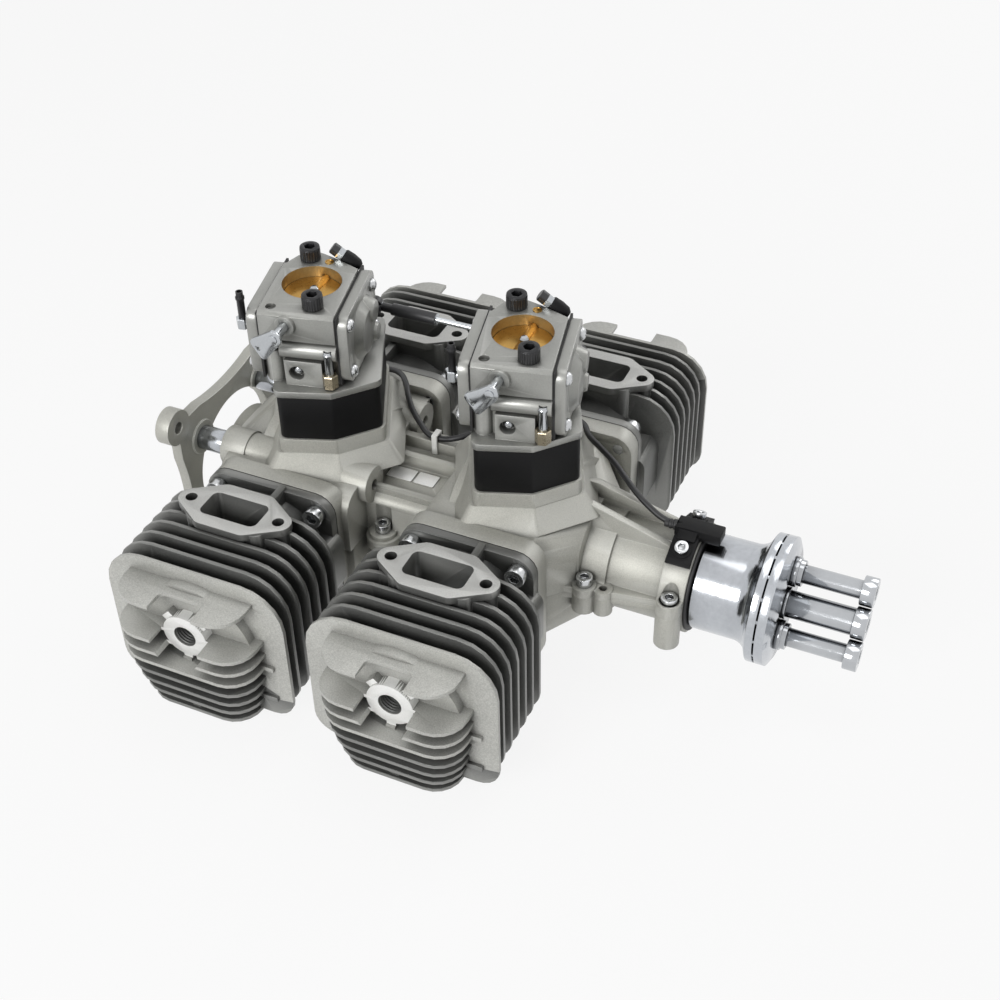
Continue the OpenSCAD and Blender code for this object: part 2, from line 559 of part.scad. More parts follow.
// Body of one carburettor, with the flange on its pad at a distance along the crankshaft
module carb_body(pad_shift) color([0.78, 0.77, 0.74]) difference() {
    union() {
        rotate([0, 0, -carb_turn]) translate([pad_shift, 0, block_z]) linear_extrude(base_t) pad_outline(0.8);
        translate([-carb_w / 2, 0, 0]) rotate([90, 0, 90]) linear_extrude(carb_w) polygon([[carb_low_y + 3, block_z + base_t - e],
            [carb_high_y, block_z + base_t - e], [carb_high_y, carb_top - 12], [carb_high_y - 7, carb_top],
            [carb_low_y + 1.5, carb_top], [carb_low_y, carb_top - 1.5], [carb_low_y, carb_top - 13], [carb_low_y + 3, carb_top - 15]]);
        // bosses of the choke shaft, the cross passage, the idle box and the pump screw
        choke_line() ycyl(-26.6, -18, 4.4);
        translate([-8, carb_low_y + 2.5, block_z + 19]) xcyl(0, carb_w / 2 + 8, 3.9);
        box([-6.5, carb_low_y - 1, block_z + base_t - e], [9.5, carb_low_y + 4, block_z + 15]);
        translate([-11.9, carb_low_y + 4.2, block_z + base_t - e]) cylinder(r = 3.9, h = 15);
        translate([-11.4, carb_low_y + 4.7, block_z + 20]) cylinder(r = 4.4, h = carb_h - 21.5);
        translate([0, 0, throttle_z]) ycyl(carb_high_y - 4, carb_high_y + 0.8, 5.2);
    }
    translate([0, 0, step_z]) cylinder(r = throat_d / 2, h = carb_h);
    translate([0, 0, block_z - 1]) cylinder(r = venturi_r, h = carb_h);
    choke_line() ycyl(-30, 40, choke_shaft_r + run_gap);
    translate([0, 0, throttle_z]) ycyl(-20, 40, throttle_shaft_r + run_gap);
    for (s = [-1, 1]) translate([5.8 * s, -18 * s, block_z - 1]) cylinder(r = m5_r + 0.1, h = carb_h + 3);
    translate([-1.5, 0, block_z + 9]) ycyl(carb_low_y - 2, carb_low_y + 3, 3.3);
    translate([-11.4, carb_low_y + 4.7, carb_top - 2]) cylinder(r = 2.2, h = 3);
}
choke_skew = 10;
module choke_line() translate([0, 0, choke_z]) rotate([0, 0, -choke_skew]) children();
choke_z = carb_top - 5.5;
throttle_z = block_z + 8;
venturi_r = throat_d / 2 - 3.5;
step_z = choke_z - throat_d / 2 + 0.6;
choke_shaft_r = 2;
throttle_shaft_r = 2.5;
module carb_body_rear() at_carb(carb_rear_x) carb_body(pad_xs[0] - carb_rear_x);
module carb_body_front() at_carb(carb_front_x) carb_body(pad_xs[1] - carb_front_x);
cover_y = [carb_low_y + 1, carb_high_y - 1];
cover_z = [block_z + base_t + 1.2, carb_top - 1.5];
// One flat side cover with cut corners, its inner face at x = 0
module cover(t) rotate([90, 0, 90]) linear_extrude(t) polygon(round_points(cover_y[0], cover_y[1], cover_z[0], cover_z[1], 5, 5));
cover_screws = [[carb_low_y + 5, carb_top - 6], [carb_high_y - 5.5, carb_top - 8], [carb_low_y + 5, block_z + 9],
    [carb_high_y - 5.5, block_z + 9]];
module carb_covers() color([0.76, 0.76, 0.74]) for (x = carb_xs) at_carb(x) difference() {
    c = carb_w / 2 + 1;
    union() {
        translate([c, 0, 0]) cover(4);
        translate([c + 4 - e, -4, block_z + 18.5]) rotate([0, 90, 0]) cylinder(r1 = 12.5, r2 = 9, h = 3.4);
        translate([c + 4 - e, 3, block_z + 24]) rotate([0, 90, 0]) cylinder(r1 = 6.5, r2 = 4.5, h = 4.6);
        translate([c + 4 - e, 5, block_z + 12.5]) rotate([0, 90, 0]) cylinder(r1 = 5.5, r2 = 3.5, h = 4.6);
        translate([-c - 4.4, 0, 0]) cover(4.4);
        translate([-c - 7, -4, block_z + 17]) rotate([0, 90, 0]) cylinder(r1 = 8, r2 = 11, h = 2.7);
    }
    for (p = cover_screws) translate([0, p[0], p[1]]) xcyl(-c - 8, c + 8, 1.6);
    for (p = cover_screws, s = [-1, 1]) translate([0, p[0], p[1]]) xcyl(s > 0 ? c + 4 : -c - 9, s > 0 ? c + 9 : -c - 4.4, 3.3);
}
// Pan screws of the side covers, their threads in the covers alone
module cover_screw_set() color([0.82, 0.82, 0.82]) for (x = carb_xs) at_carb(x) for (p = cover_screws, s = [-1, 1])
    if (s > 0 || p != cover_screws[0]) translate([s > 0 ? carb_w / 2 + 5 : -carb_w / 2 - 5.4, p[0], p[1]]) rotate([0, s * 90, 0]) difference() {
        union() {
            rotate_extrude() polygon(concat([[0, 0], [2.9, 0]], arc(0.9, 0, 2, 0, 90, 4), [[0, 2]]));
            translate([0, 0, -3.6]) cylinder(r = 1.58, h = 3.7);
        }
        for (a = [0, 90]) rotate([0, 0, a]) translate([-0.4, -1.5, 1.1]) cube([0.8, 3, 2]);
    }
module carb_screws() color([0.12, 0.12, 0.12]) carb_bolt_spots() translate([0, 0, carb_top])
    socket_screw(m5_r - 0.02, m5_head_r, 6, carb_h + block_h + 8);
module choke() color([0.78, 0.6, 0.3]) choke_line() {
    ycyl(-37, 22, choke_shaft_r);
    translate([0, 0, -0.6]) cylinder(r = throat_d / 2 - safe_gap, h = 1.2);
    translate([0, -34.8, 0]) rotate([90, 0, 0]) linear_extrude(1.6) difference() {
        polygon(concat(arc(0, 0, 3.6, -30, 100, 6), arc(-8.4, -3.5, 2, 110, 215, 4), arc(-5, -8.6, 2, 215, 300, 4)));
        translate([-7, -6]) circle(r = 0.9);
    }
}
lever_pin = [18, 3];
module throttle() color([0.2, 0.2, 0.2]) translate([0, 0, throttle_z]) {
    ycyl(-17, carb_high_y + 4, throttle_shaft_r);
    rotate([0, -12, 0]) translate([0, 0, -0.6]) cylinder(r = venturi_r - safe_gap, h = 1.2);
    translate([0, carb_high_y + 3.6, 0]) rotate([90, 0, 0]) linear_extrude(2.6) {
        polygon(concat(arc(0, 0, 4.2, 100, 260, 10), arc(lever_pin[0], lever_pin[1], 3.6, -80, 100, 8)));
    }
    translate([lever_pin[0], 0, lever_pin[1]]) ycyl(carb_high_y + 3, carb_high_y + 9.4, 1.5);
}
module choke_rear() at_carb(carb_rear_x) choke();
module choke_front() at_carb(carb_front_x) choke();
module throttle_rear() at_carb(carb_rear_x) throttle();
module throttle_front() at_carb(carb_front_x) throttle();
link_y = carb_high_y + 5.3;
function carb_point(x, p, q) = [x + p * cos(carb_turn) - q * sin(carb_turn), p * sin(carb_turn) + q * cos(carb_turn)];
module throttle_link() color([0.14, 0.14, 0.15]) {
    a = carb_point(carb_rear_x, lever_pin[0], link_y + 1.5);
    b = carb_point(carb_front_x, lever_pin[0], link_y + 1.5);
    z = throttle_z + lever_pin[1];
    difference() {
        union() {
            translate([a[0], a[1], z]) rotate([0, 90, 0]) cylinder(r = 1.3, h = b[0] - a[0]);
            for (p = [a, b]) translate([p[0], p[1], z]) rotate([0, 0, carb_turn]) ycyl(-1.5, 1.8, 3.8);
            translate([a[0], a[1], z]) xcyl(4, 9, 2);
            translate([a[0], a[1], z]) xcyl(8.9, 30, 2.7);
            translate([b[0], b[1], z]) xcyl(-16, -3, 2.4);
        }
        for (p = [a, b]) translate([p[0], p[1], z]) rotate([0, 0, carb_turn]) ycyl(-3, 5, 1.5 + run_gap);
    }
}
// Fuel fittings: a cross nipple low on the front face and an upright one on the left cover
module fuel_nipples() color([0.78, 0.62, 0.32]) for (x = carb_xs) at_carb(x) {
    translate([12.6, 0, block_z + 7]) ycyl(carb_low_y - 3.5, carb_low_y + 3, 2);
    translate([12.6, carb_low_y - 4.5, block_z + 3.6]) cylinder(r = 3.3, h = 6.4, $fn = 6);
    translate([12.6, carb_low_y - 4.5, block_z + 9.9]) cylinder(r = 2, h = 11);
    for (k = [0 : 2]) translate([12.6, carb_low_y - 4.5, block_z + 13 + 2.8 * k]) cylinder(r1 = 2.4, r2 = 2, h = 1.8);
    translate([-carb_w / 2 - 8.4, -19.5, block_z + 27.5]) {
        xcyl(0, 3, 2);
        cylinder(r = 2.9, h = 5, center = true, $fn = 6);
        cylinder(r = 1.7, h = 14.5);
        for (k = [0 : 2]) translate([0, 0, 6 + 2.8 * k]) cylinder(r1 = 2.1, r2 = 1.7, h = 1.8);
    }
}

// Propeller drive on the front of the crankshaft
centre_bolt_r = 5.8;
module bolt_places() { for (s = [-1, 1]) rotate([prop_angle, 0, 0]) translate([0, s * prop_pcd / 2, 0]) children(); }
module prop_hub() color([0.85, 0.86, 0.88]) difference() {
    union() {
        rotate([0, 90, 0]) rotate_extrude() polygon(concat([[0, hub_x], [hub_r - 0.6, hub_x], [hub_r, hub_x + 0.6]],
            arc(hub_r + flare_r, hub_flange_x - flare_r, flare_r, 180, 128, 8), [[flange_r - 0.4, hub_flange_x], [flange_r, hub_flange_x + 0.4],
            [flange_r, drive_face - 0.8], [0, drive_face - 0.8]]));
        for (a = [0 : 20 : 340]) rotate([a, 0, 0]) box([drive_face - 1, 17, -0.7], [drive_face, flange_r - 0.3, 0.7]);
        xcyl(drive_face - 1, drive_face, 12);
    }
    xcyl(hub_x - 1, drive_face - 2 + e, hub_shaft_r);
    xcyl(drive_face - 5, drive_face + 2, centre_bolt_r + 0.1);
    bolt_places() xcyl(drive_face - 18, drive_face + 2, prop_bolt_d / 2);
    translate([hub_x + 4, 0, 0]) rotate([magnet_turn, 0, 0]) translate([0, 0, hub_r - 4]) cylinder(r = 2, h = 6);
}
magnet_turn = 150;
flare_r = 7.5;
module timing_magnet() color([0.6, 0.6, 0.62]) translate([hub_x + 4, 0, 0]) rotate([magnet_turn, 0, 0])
    translate([0, 0, hub_r - 4]) cylinder(r = 2, h = 3.7);
module prop_washer() color([0.87, 0.88, 0.9]) difference() {
    union() {
        xcyl(drive_face, washer_face - 1.5, flange_r);
        xcone(washer_face - 1.5 - e, washer_face, flange_r, flange_r - 3.1);
    }
    xcyl(drive_face - 1, washer_face + 1, centre_bolt_r + 0.1);
    bolt_places() xcyl(drive_face - 1, washer_face + 1, prop_bolt_d / 2 + 0.2);
}
bolt_head_x = washer_face + 4.3 + prop_gap;
module prop_bolt(r, head_r, depth) difference() {
    union() {
        xcyl(washer_face - depth, bolt_head_x, r);
        xcyl(bolt_head_x - e, bolt_head_x + 5.7, head_r);
    }
    translate([bolt_head_x + 2.5, 0, 0]) rotate([0, 90, 0]) cylinder(r = head_r * 0.52, h = 5, $fn = 6);
}
module prop_bolts() color([0.88, 0.89, 0.9]) {
    bolt_places() prop_bolt(prop_bolt_d / 2 - 0.02, 6.3, 18);
    prop_bolt(centre_bolt_r - 0.02, 6.8, 20);
}
module prop_bolt_washers() color([0.84, 0.85, 0.86]) {
    race(washer_face, 1.2, centre_bolt_r, 6.8);
    bolt_places() { race(washer_face, 2.3, prop_bolt_d / 2, 6.4); race(washer_face + 2.3, 2, prop_bolt_d / 2, 5.6); }
}

// Ignition sensor on the nose collar: two curved pads with a bar across between them
sensor_pad_r = collar_r + 2.2;
sensor_angle = 25;
sensor_x = nose_end - 5.6;
bar_top = collar_r + 4.8;
module at_sensor(s) translate([sensor_x, 0, 0]) rotate([-s * sensor_angle, 0, 0]) children();
module sensor_holder() color([0.08, 0.08, 0.08]) difference() {
    union() {
        difference() {
            xcyl(nose_end - 10.8, nose_end - 0.4, sensor_pad_r);
            for (s = [-1, 1]) rotate([-s * 41, 0, 0]) box([nose_end - 20, min(0, s * 60), -60], [nose_end + 10, max(0, s * 60), 60]);
            box([nose_end - 20, -60, -60], [nose_end + 10, 60, 10]);
            for (s = [-1, 1]) at_sensor(s) translate([0, 0, sensor_pad_r - 0.5]) box([-6, -5, 0], [6, 5, 3]);
        }
        for (s = [-1, 1]) at_sensor(s) translate([0, 0, sensor_pad_r - 2]) cylinder(r = 4, h = 2);
        xz_plate(nose_end - 11.5, nose_end + 8, hub_r + 2.6, bar_top, 0.6, 0.6, -3.6, 3.6);
        for (s = [-1, 1]) at_sensor(s) translate([0, -s * 7.4, 0]) xy_plate(-4, 4, -3.4, 3.4, 0.6, collar_r - 1, collar_r + 2.6);
    }
    xcyl(nose_end - 20, nose_end + e, collar_r);
    xcyl(nose_end - 20, nose_end + 10, hub_r + 1.5);
    for (s = [-1, 1]) at_sensor(s) translate([0, 0, 10]) cylinder(r = 1.55, h = 30);
    translate([0, lead_path[0][1], lead_path[0][2]]) xcyl(nose_end - 13, lead_path[0][0] + 0.15, lead_r + 0.4);
}
lead_r = 1.3;
// Points of the lead from the sensor back over the nose and down behind the far cylinders
lead_path = [[222, -1, 26.5], [214, -0.4, 27.4], [207, 1.6, 29.8], [200, 5, 32.4], [193, 10, 34.6], [186, 15.6, 36.2],
    [178, 21, 37.3], [170, 27, 37.6], [164, 35, 36.8], [155, 39.4, 34.8], [143, 39, 33.2], [132, 33, 32.4], [124, 24.5, 31.4],
    [118, 17, 30], [112, 13, 28.6], [108, 12.2, 27.7], [104, 12, 27.4], [100, 12.4, 27.8], [95, 15, 30], [89, 19.4, 33],
    [84, 25, 35.4], [79, 32.5, 36.4], [72, 39.5, 35.6], [63, 42.4, 33.8], [54, 43, 33], [44, 45, 32.8], [35, 51.5, 33], [28, 58.5, 30],
    [25.5, 62, 24]];
function lead_u(a, b) = (b - a) / norm(b - a);
lead_sides = 8;
module sensor_lead() color([0.03, 0.03, 0.03]) {
    n = len(lead_path);
    dirs = [for (i = [0 : n - 1]) lead_u(lead_path[max(i - 1, 0)], lead_path[min(i + 1, n - 1)])];
    pts = [for (i = [0 : n - 1]) let (d = dirs[i], s = lead_u([0, 0, 0], cross(d, [0, 0.1, 1])), u = cross(s, d))
        for (k = [0 : lead_sides - 1]) let (a = 360 * k / lead_sides) lead_path[i] + lead_r * (cos(a) * s + sin(a) * u)];
    quads = [for (i = [0 : n - 2], k = [0 : lead_sides - 1]) let (k2 = (k + 1) % lead_sides)
        [i * lead_sides + k, i * lead_sides + k2, (i + 1) * lead_sides + k2, (i + 1) * lead_sides + k]];
    caps = [[for (k = [lead_sides - 1 : -1 : 0]) k], [for (k = [0 : lead_sides - 1]) (n - 1) * lead_sides + k]];
    polyhedron(points = pts, faces = concat(quads, caps), convexity = 6);
}
tie_x = (carb_rear_x + carb_front_x) / 2 + 0.45;
module lead_tie() color([0.9, 0.9, 0.88]) translate([tie_x, 0, 0]) difference() {
    box([-1.3, 9.2, 20.02], [1.3, 14.8, 30.2]);
    box([-3, 12 - 1.6 - run_gap, 18], [3, 12 + 1.6 + run_gap, 29]);
}
module lead_connector() color([0.06, 0.06, 0.06]) {
    d = lead_path[len(lead_path) - 1];
    translate([d[0] - 5.5, d[1] - 1, d[2] - 0.6 * lead_r - 14]) cube([8, 5.5, 14]);
}

// Rear mount
bolt_cone_h = 2.7;
module rear_bracket() color([0.72, 0.73, 0.75]) difference() {
    union() {
        difference() {
            box([0.8, -fw, -fw], [bracket_t - 0.8, fw, fw]);
            for (a = [0 : 90 : 270]) rotate([a, 0, 0]) translate([0, 0, 138]) xcyl(-1, bracket_t + 1, 100);
        }
        for (y = [-fw, fw], z = [-fw, fw]) translate([0, y, z]) xcyl(0, bracket_t, 8.2);
        for (y = [-so, so], z = [-so, so]) translate([0, y, z]) xcyl(0, bracket_t, 8);
    }
    xcyl(-1, bracket_t + 1, bracket_open_r);
    for (y = [-fw, fw], z = [-fw, fw]) translate([0, y, z]) xcyl(-1, bracket_t + 5, firewall_hole_d / 2);
    for (y = [-so, so], z = [-so, so]) translate([0, y, z]) {
        xcyl(-1, bracket_t + 1, m5_r + 0.2);
        xcone(-e, bolt_cone_h, m5_r + 0.2 + bolt_cone_h + e, m5_r + 0.2);
    }
}
module standoffs() color([0.82, 0.83, 0.85]) for (y = [-so, so], z = [-so, so]) translate([0, y, z])
    race(bracket_t, boss_x - bracket_t, m5_r + 0.2, standoff_d / 2);
module mount_bolts() color([0.15, 0.15, 0.16]) for (y = [-so, so], z = [-so, so]) translate([0, y, z]) difference() {
    union() {
        xcone(0.1, bolt_cone_h + 0.1, m5_r + bolt_cone_h, m5_r - 0.02);
        xcyl(bolt_cone_h, boss_x + 15, m5_r - 0.02);
    }
    rotate([0, 90, 0]) cylinder(r = 1.7, h = 2, $fn = 6);
}

crankcase_upper();
crankcase_lower();
case_screws();
bearing_outer_rings();
bearing_inner_rings();
shaft_seal();
crankshaft();
near_at(pair_rear_x) crankpin(pin_low);  // crankpin_nr
near_at(pair_front_x) crankpin(pin_top);  // crankpin_nf
far_at(pair_rear_x) crankpin(pin_low);  // crankpin_fr
far_at(pair_front_x) crankpin(pin_top);  // crankpin_ff
near_at(pair_rear_x) rod(pin_low);  // rod_nr
near_at(pair_front_x) rod(pin_top);  // rod_nf
far_at(pair_rear_x) rod(pin_low);  // rod_fr
far_at(pair_front_x) rod(pin_top);  // rod_ff
near_at(pair_rear_x) piston(pin_low);  // piston_nr
near_at(pair_front_x) piston(pin_top);  // piston_nf
far_at(pair_rear_x) piston(pin_low);  // piston_fr
far_at(pair_front_x) piston(pin_top);  // piston_ff
near_at(pair_rear_x) piston_rings(pin_low);  // rings_nr
near_at(pair_front_x) piston_rings(pin_top);  // rings_nf
far_at(pair_rear_x) piston_rings(pin_low);  // rings_fr
far_at(pair_front_x) piston_rings(pin_top);  // rings_ff
near_at(pair_rear_x) gudgeon(pin_low);  // gudgeon_nr
near_at(pair_front_x) gudgeon(pin_top);  // gudgeon_nf
far_at(pair_rear_x) gudgeon(pin_low);  // gudgeon_fr
far_at(pair_front_x) gudgeon(pin_top);  // gudgeon_ff
near_at(pair_rear_x) cylinder_casting();  // cylinder_nr
near_at(pair_front_x) cylinder_casting();  // cylinder_nf
far_at(pair_rear_x) cylinder_casting();  // cylinder_fr
far_at(pair_front_x) cylinder_casting();  // cylinder_ff
gaskets();
cylinder_screws();
reed_blocks();
insulator_blocks();
carb_body_rear();
carb_body_front();
carb_covers();
carb_screws();
choke_rear();
choke_front();
throttle_rear();
throttle_front();
throttle_link();
fuel_nipples();
cover_screw_set();
prop_hub();
prop_washer();
prop_bolts();
prop_bolt_washers();
timing_magnet();
sensor_holder();
sensor_lead();
lead_tie();
lead_connector();
rear_bracket();
standoffs();
mount_bolts();
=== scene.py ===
import bpy, bmesh, math, json
from mathutils import Vector, Matrix


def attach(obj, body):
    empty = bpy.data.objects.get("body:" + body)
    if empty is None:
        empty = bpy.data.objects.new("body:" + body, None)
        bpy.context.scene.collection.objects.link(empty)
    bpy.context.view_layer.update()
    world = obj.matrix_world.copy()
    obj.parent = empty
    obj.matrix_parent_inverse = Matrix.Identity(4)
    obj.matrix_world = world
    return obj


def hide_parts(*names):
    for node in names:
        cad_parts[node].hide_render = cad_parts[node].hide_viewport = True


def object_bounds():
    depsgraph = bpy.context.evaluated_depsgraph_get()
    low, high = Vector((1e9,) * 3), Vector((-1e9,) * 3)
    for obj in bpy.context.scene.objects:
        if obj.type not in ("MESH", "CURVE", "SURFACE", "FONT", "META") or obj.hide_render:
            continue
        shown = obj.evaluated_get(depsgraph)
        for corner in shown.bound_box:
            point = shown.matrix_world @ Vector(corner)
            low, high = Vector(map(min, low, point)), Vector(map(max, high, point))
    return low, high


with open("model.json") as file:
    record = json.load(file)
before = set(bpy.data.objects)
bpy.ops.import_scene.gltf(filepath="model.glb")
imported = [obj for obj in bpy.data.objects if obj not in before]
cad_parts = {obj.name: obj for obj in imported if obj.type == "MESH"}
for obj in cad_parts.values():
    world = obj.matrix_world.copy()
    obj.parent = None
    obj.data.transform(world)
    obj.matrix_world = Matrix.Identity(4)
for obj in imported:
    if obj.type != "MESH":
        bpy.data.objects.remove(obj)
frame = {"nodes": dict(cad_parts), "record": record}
cad_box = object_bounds()
MM = 0.001

# Camera, fitted to the photograph: angles in degrees, place in metres, focal length in sensor widths
CAMERA_AZIMUTH = 24.96
CAMERA_ELEVATION = 39.96
CAMERA_ROLL = -1.18
CAMERA_PLACE = (0.35639, -0.46557, 0.44294)
CAMERA_FOCUS = 1.54727
SENSOR_MM = 36.0


def make_camera():
    az = math.radians(CAMERA_AZIMUTH)
    el = math.radians(CAMERA_ELEVATION)
    roll = math.radians(CAMERA_ROLL)
    forward = Vector((-math.sin(az) * math.cos(el), math.cos(az) * math.cos(el), -math.sin(el)))
    level_right = Vector((math.cos(az), math.sin(az), 0.0))
    level_up = level_right.cross(forward)
    right = level_right * math.cos(roll) + level_up * math.sin(roll)
    up = level_up * math.cos(roll) - level_right * math.sin(roll)
    camera = bpy.data.objects.new("view_camera", bpy.data.cameras.new("view_camera"))
    bpy.context.collection.objects.link(camera)
    matrix = Matrix((right, up, -forward)).transposed().to_4x4()
    matrix.translation = Vector(CAMERA_PLACE)
    camera.matrix_world = matrix
    camera.data.sensor_width = SENSOR_MM
    camera.data.lens = CAMERA_FOCUS * SENSOR_MM
    camera.data.clip_start = 0.01
    bpy.context.scene.camera = camera


make_camera()

# Helpers for objects and places
SHARP_ANGLE = 34.0


def new_object(name, data):
    obj = bpy.data.objects.new(name, data)
    bpy.context.collection.objects.link(obj)
    return obj


def apply_modifiers(obj):
    graph = bpy.context.evaluated_depsgraph_get()
    mesh = bpy.data.meshes.new_from_object(obj.evaluated_get(graph), depsgraph=graph)
    obj.modifiers.clear()
    obj.data = mesh


def shade(obj, angle=SHARP_ANGLE):
    """Smooth shading, with edges kept sharp above an angle in degrees."""
    mesh = obj.data
    mesh.polygons.foreach_set("use_smooth", [True] * len(mesh.polygons))
    mesh.set_sharp_from_angle(angle=math.radians(angle))


def at(x, y, z):
    return Matrix.Translation((x * MM, y * MM, z * MM))


def rot(degrees, axis):
    return Matrix.Rotation(math.radians(degrees), 4, axis)


# Helpers for shader trees
def add_node(tree, kind, values=None, **settings):
    """A new node with its settings and the values of its sockets."""
    node = tree.nodes.new(kind)
    for name, value in settings.items():
        setattr(node, name, value)
    for name, value in (values or {}).items():
        node.inputs[name].default_value = value
    return node


def empty_tree(owner):
    """The node tree of a material or a world, cleared."""
    owner.use_nodes = True
    owner.node_tree.nodes.clear()
    return owner.node_tree


def calculated(tree, operation, a, b):
    """The output of a math node; a and b are outputs or plain numbers."""
    node = add_node(tree, "ShaderNodeMath", operation=operation)
    for k, value in enumerate((a, b)):
        if isinstance(value, (int, float)):
            node.inputs[k].default_value = value
        else:
            tree.links.new(value, node.inputs[k])
    return node.outputs[0]


def ranged(tree, value, low, high, to_low, to_high):
    """An output carried from the range low to high over to another range."""
    limits = {"From Min": low, "From Max": high, "To Min": to_low, "To Max": to_high}
    node = add_node(tree, "ShaderNodeMapRange", limits)
    tree.links.new(value, node.inputs["Value"])
    return node.outputs["Result"]


def blended(tree, share, colour, other):
    """A colour output that turns into another, constant colour by a share."""
    node = add_node(tree, "ShaderNodeMix", {"B": (*other, 1.0)}, data_type="RGBA")
    tree.links.new(share, node.inputs["Factor"])
    tree.links.new(colour, node.inputs["A"])
    return node.outputs["Result"]


def mixed_shader(tree, share, first, second):
    """The output of a mix of two shaders, by a share."""
    node = add_node(tree, "ShaderNodeMixShader")
    tree.links.new(share, node.inputs[0])
    tree.links.new(first, node.inputs[1])
    tree.links.new(second, node.inputs[2])
    return node.outputs[0]


# Sensor lead: its route in mm, as in the solids, from the sensor bar over the nose and the far rib to its
# connector
LEAD = [[222, -1, 26.5], [214, -0.4, 27.4], [207, 1.6, 29.8], [200, 5, 32.4], [193, 10, 34.6],
        [186, 15.6, 36.2], [178, 21, 37.3], [170, 27, 37.6], [164, 35, 36.8], [155, 39.4, 34.8],
        [143, 39, 33.2], [132, 33, 32.4], [124, 24.5, 31.4], [118, 17, 30], [112, 13, 28.6],
        [108, 12.2, 27.7], [104, 12, 27.4], [100, 12.4, 27.8], [95, 15, 30], [89, 19.4, 33],
        [84, 25, 35.4], [79, 32.5, 36.4], [72, 39.5, 35.6], [63, 42.4, 33.8], [54, 43, 33],
        [44, 45, 32.8], [35, 51.5, 33], [28, 58.5, 30], [25.5, 62, 24]]
LEAD_RADIUS = 1.3


def make_lead():
    curve = bpy.data.curves.new("sensor_cable", "CURVE")
    curve.dimensions = "3D"
    spline = curve.splines.new("BEZIER")
    spline.bezier_points.add(len(LEAD) - 1)
    for point, place in zip(spline.bezier_points, LEAD):
        point.co = Vector(place) * MM
        point.handle_left_type = "AUTO"
        point.handle_right_type = "AUTO"
    curve.bevel_depth = LEAD_RADIUS * MM
    curve.bevel_resolution = 6
    curve.resolution_u = 8
    return new_object("sensor_cable", curve)


# Finishes
BLOTCH_SCALE = 40.0
# Painted shade: the share of its own colour that a hollow is darkened to
PAINTED_SHADE_DARKNESS = 0.22
# Edges are brightened by this factor, partly as real wear and partly as a painted highlight
EDGE_WEAR_HIGHLIGHT_BRIGHTNESS = 1.5
TURNING_SCALE = 420.0


def finish(name, colour, metallic=0.0, rough=0.5, grain=900.0, bump=0.2, bump_mm=0.05, vary=0.06,
           rough_vary=0.08, edge_wear_highlight=0.0, edge_wear_highlight_colour=None, bevel_mm=0.0, spec=0.5, painted_shade=0.0, painted_shade_mm=7.0,
           speck=0.5, turned=None):
    """One finish: colour and roughness that vary over blotches and a fine grain, a grain bump, worn edges
    brightened partly as a painted highlight, painted shade darkening the hollows, softened edges, and turning
    marks along the axis that turned names."""
    material = bpy.data.materials.new(name)
    tree = empty_tree(material)
    links = tree.links
    output = add_node(tree, "ShaderNodeOutputMaterial")
    shader = add_node(tree, "ShaderNodeBsdfPrincipled", {"Metallic": metallic, "Specular IOR Level": spec})
    links.new(shader.outputs["BSDF"], output.inputs["Surface"])
    place = add_node(tree, "ShaderNodeTexCoord").outputs["Object"]

    def noise(scale, detail, roughness):
        values = {"Scale": scale, "Detail": detail, "Roughness": roughness}
        texture = add_node(tree, "ShaderNodeTexNoise", values)
        links.new(place, texture.inputs["Vector"])
        return texture.outputs["Fac"]

    blotches = noise(BLOTCH_SCALE, 5.0, 0.6)
    fine = noise(grain, 4.0, 0.7)
    blotch_share = calculated(tree, "MULTIPLY", blotches, 1.0 - speck)
    mixture = calculated(tree, "ADD", blotch_share, calculated(tree, "MULTIPLY", fine, speck))

    varied = add_node(tree, "ShaderNodeVectorMath", {0: colour}, operation="SCALE")
    links.new(ranged(tree, mixture, 0.36, 0.64, 1.0 - vary, 1.0 + vary), varied.inputs["Scale"])
    surface = varied.outputs["Vector"]
    # Edges found by pointiness are brightened, partly as real wear and partly as a painted highlight
    if edge_wear_highlight > 0:
        worn_and_highlit = edge_wear_highlight_colour or [min(1.0, c * EDGE_WEAR_HIGHLIGHT_BRIGHTNESS) for c in colour]
        pointed = add_node(tree, "ShaderNodeNewGeometry").outputs["Pointiness"]
        surface = blended(tree, ranged(tree, pointed, 0.52, 0.62, 0.0, edge_wear_highlight), surface, worn_and_highlit)
    # Painted shade: hollows found by ambient occlusion darken the base colour, in place of the shade between
    # fins and parts
    if painted_shade > 0:
        occlusion_shade = add_node(tree, "ShaderNodeAmbientOcclusion", {"Distance": painted_shade_mm * MM}, samples=6)
        share = ranged(tree, occlusion_shade.outputs["AO"], 0.3, 0.92, painted_shade, 0.0)
        surface = blended(tree, share, surface, [c * PAINTED_SHADE_DARKNESS for c in colour])
    links.new(surface, shader.inputs["Base Color"])

    smoothest = max(0.03, rough - rough_vary)
    roughest = min(1.0, rough + rough_vary)
    links.new(ranged(tree, mixture, 0.3, 0.7, smoothest, roughest), shader.inputs["Roughness"])

    relief = add_node(tree, "ShaderNodeBump", {"Strength": bump, "Distance": bump_mm * MM})
    height = fine
    if turned:
        values = {"Scale": TURNING_SCALE, "Distortion": 0.6, "Detail": 2.0}
        marks = add_node(tree, "ShaderNodeTexWave", values, bands_direction=turned)
        links.new(place, marks.inputs["Vector"])
        mark_share = calculated(tree, "MULTIPLY", marks.outputs["Fac"], 0.7)
        height = calculated(tree, "ADD", mark_share, calculated(tree, "MULTIPLY", fine, 0.3))
    links.new(height, relief.inputs["Height"])
    if bevel_mm > 0:
        soft_edge = add_node(tree, "ShaderNodeBevel", {"Radius": bevel_mm * MM}, samples=4)
        links.new(soft_edge.outputs["Normal"], relief.inputs["Normal"])
    links.new(relief.outputs["Normal"], shader.inputs["Normal"])
    return material
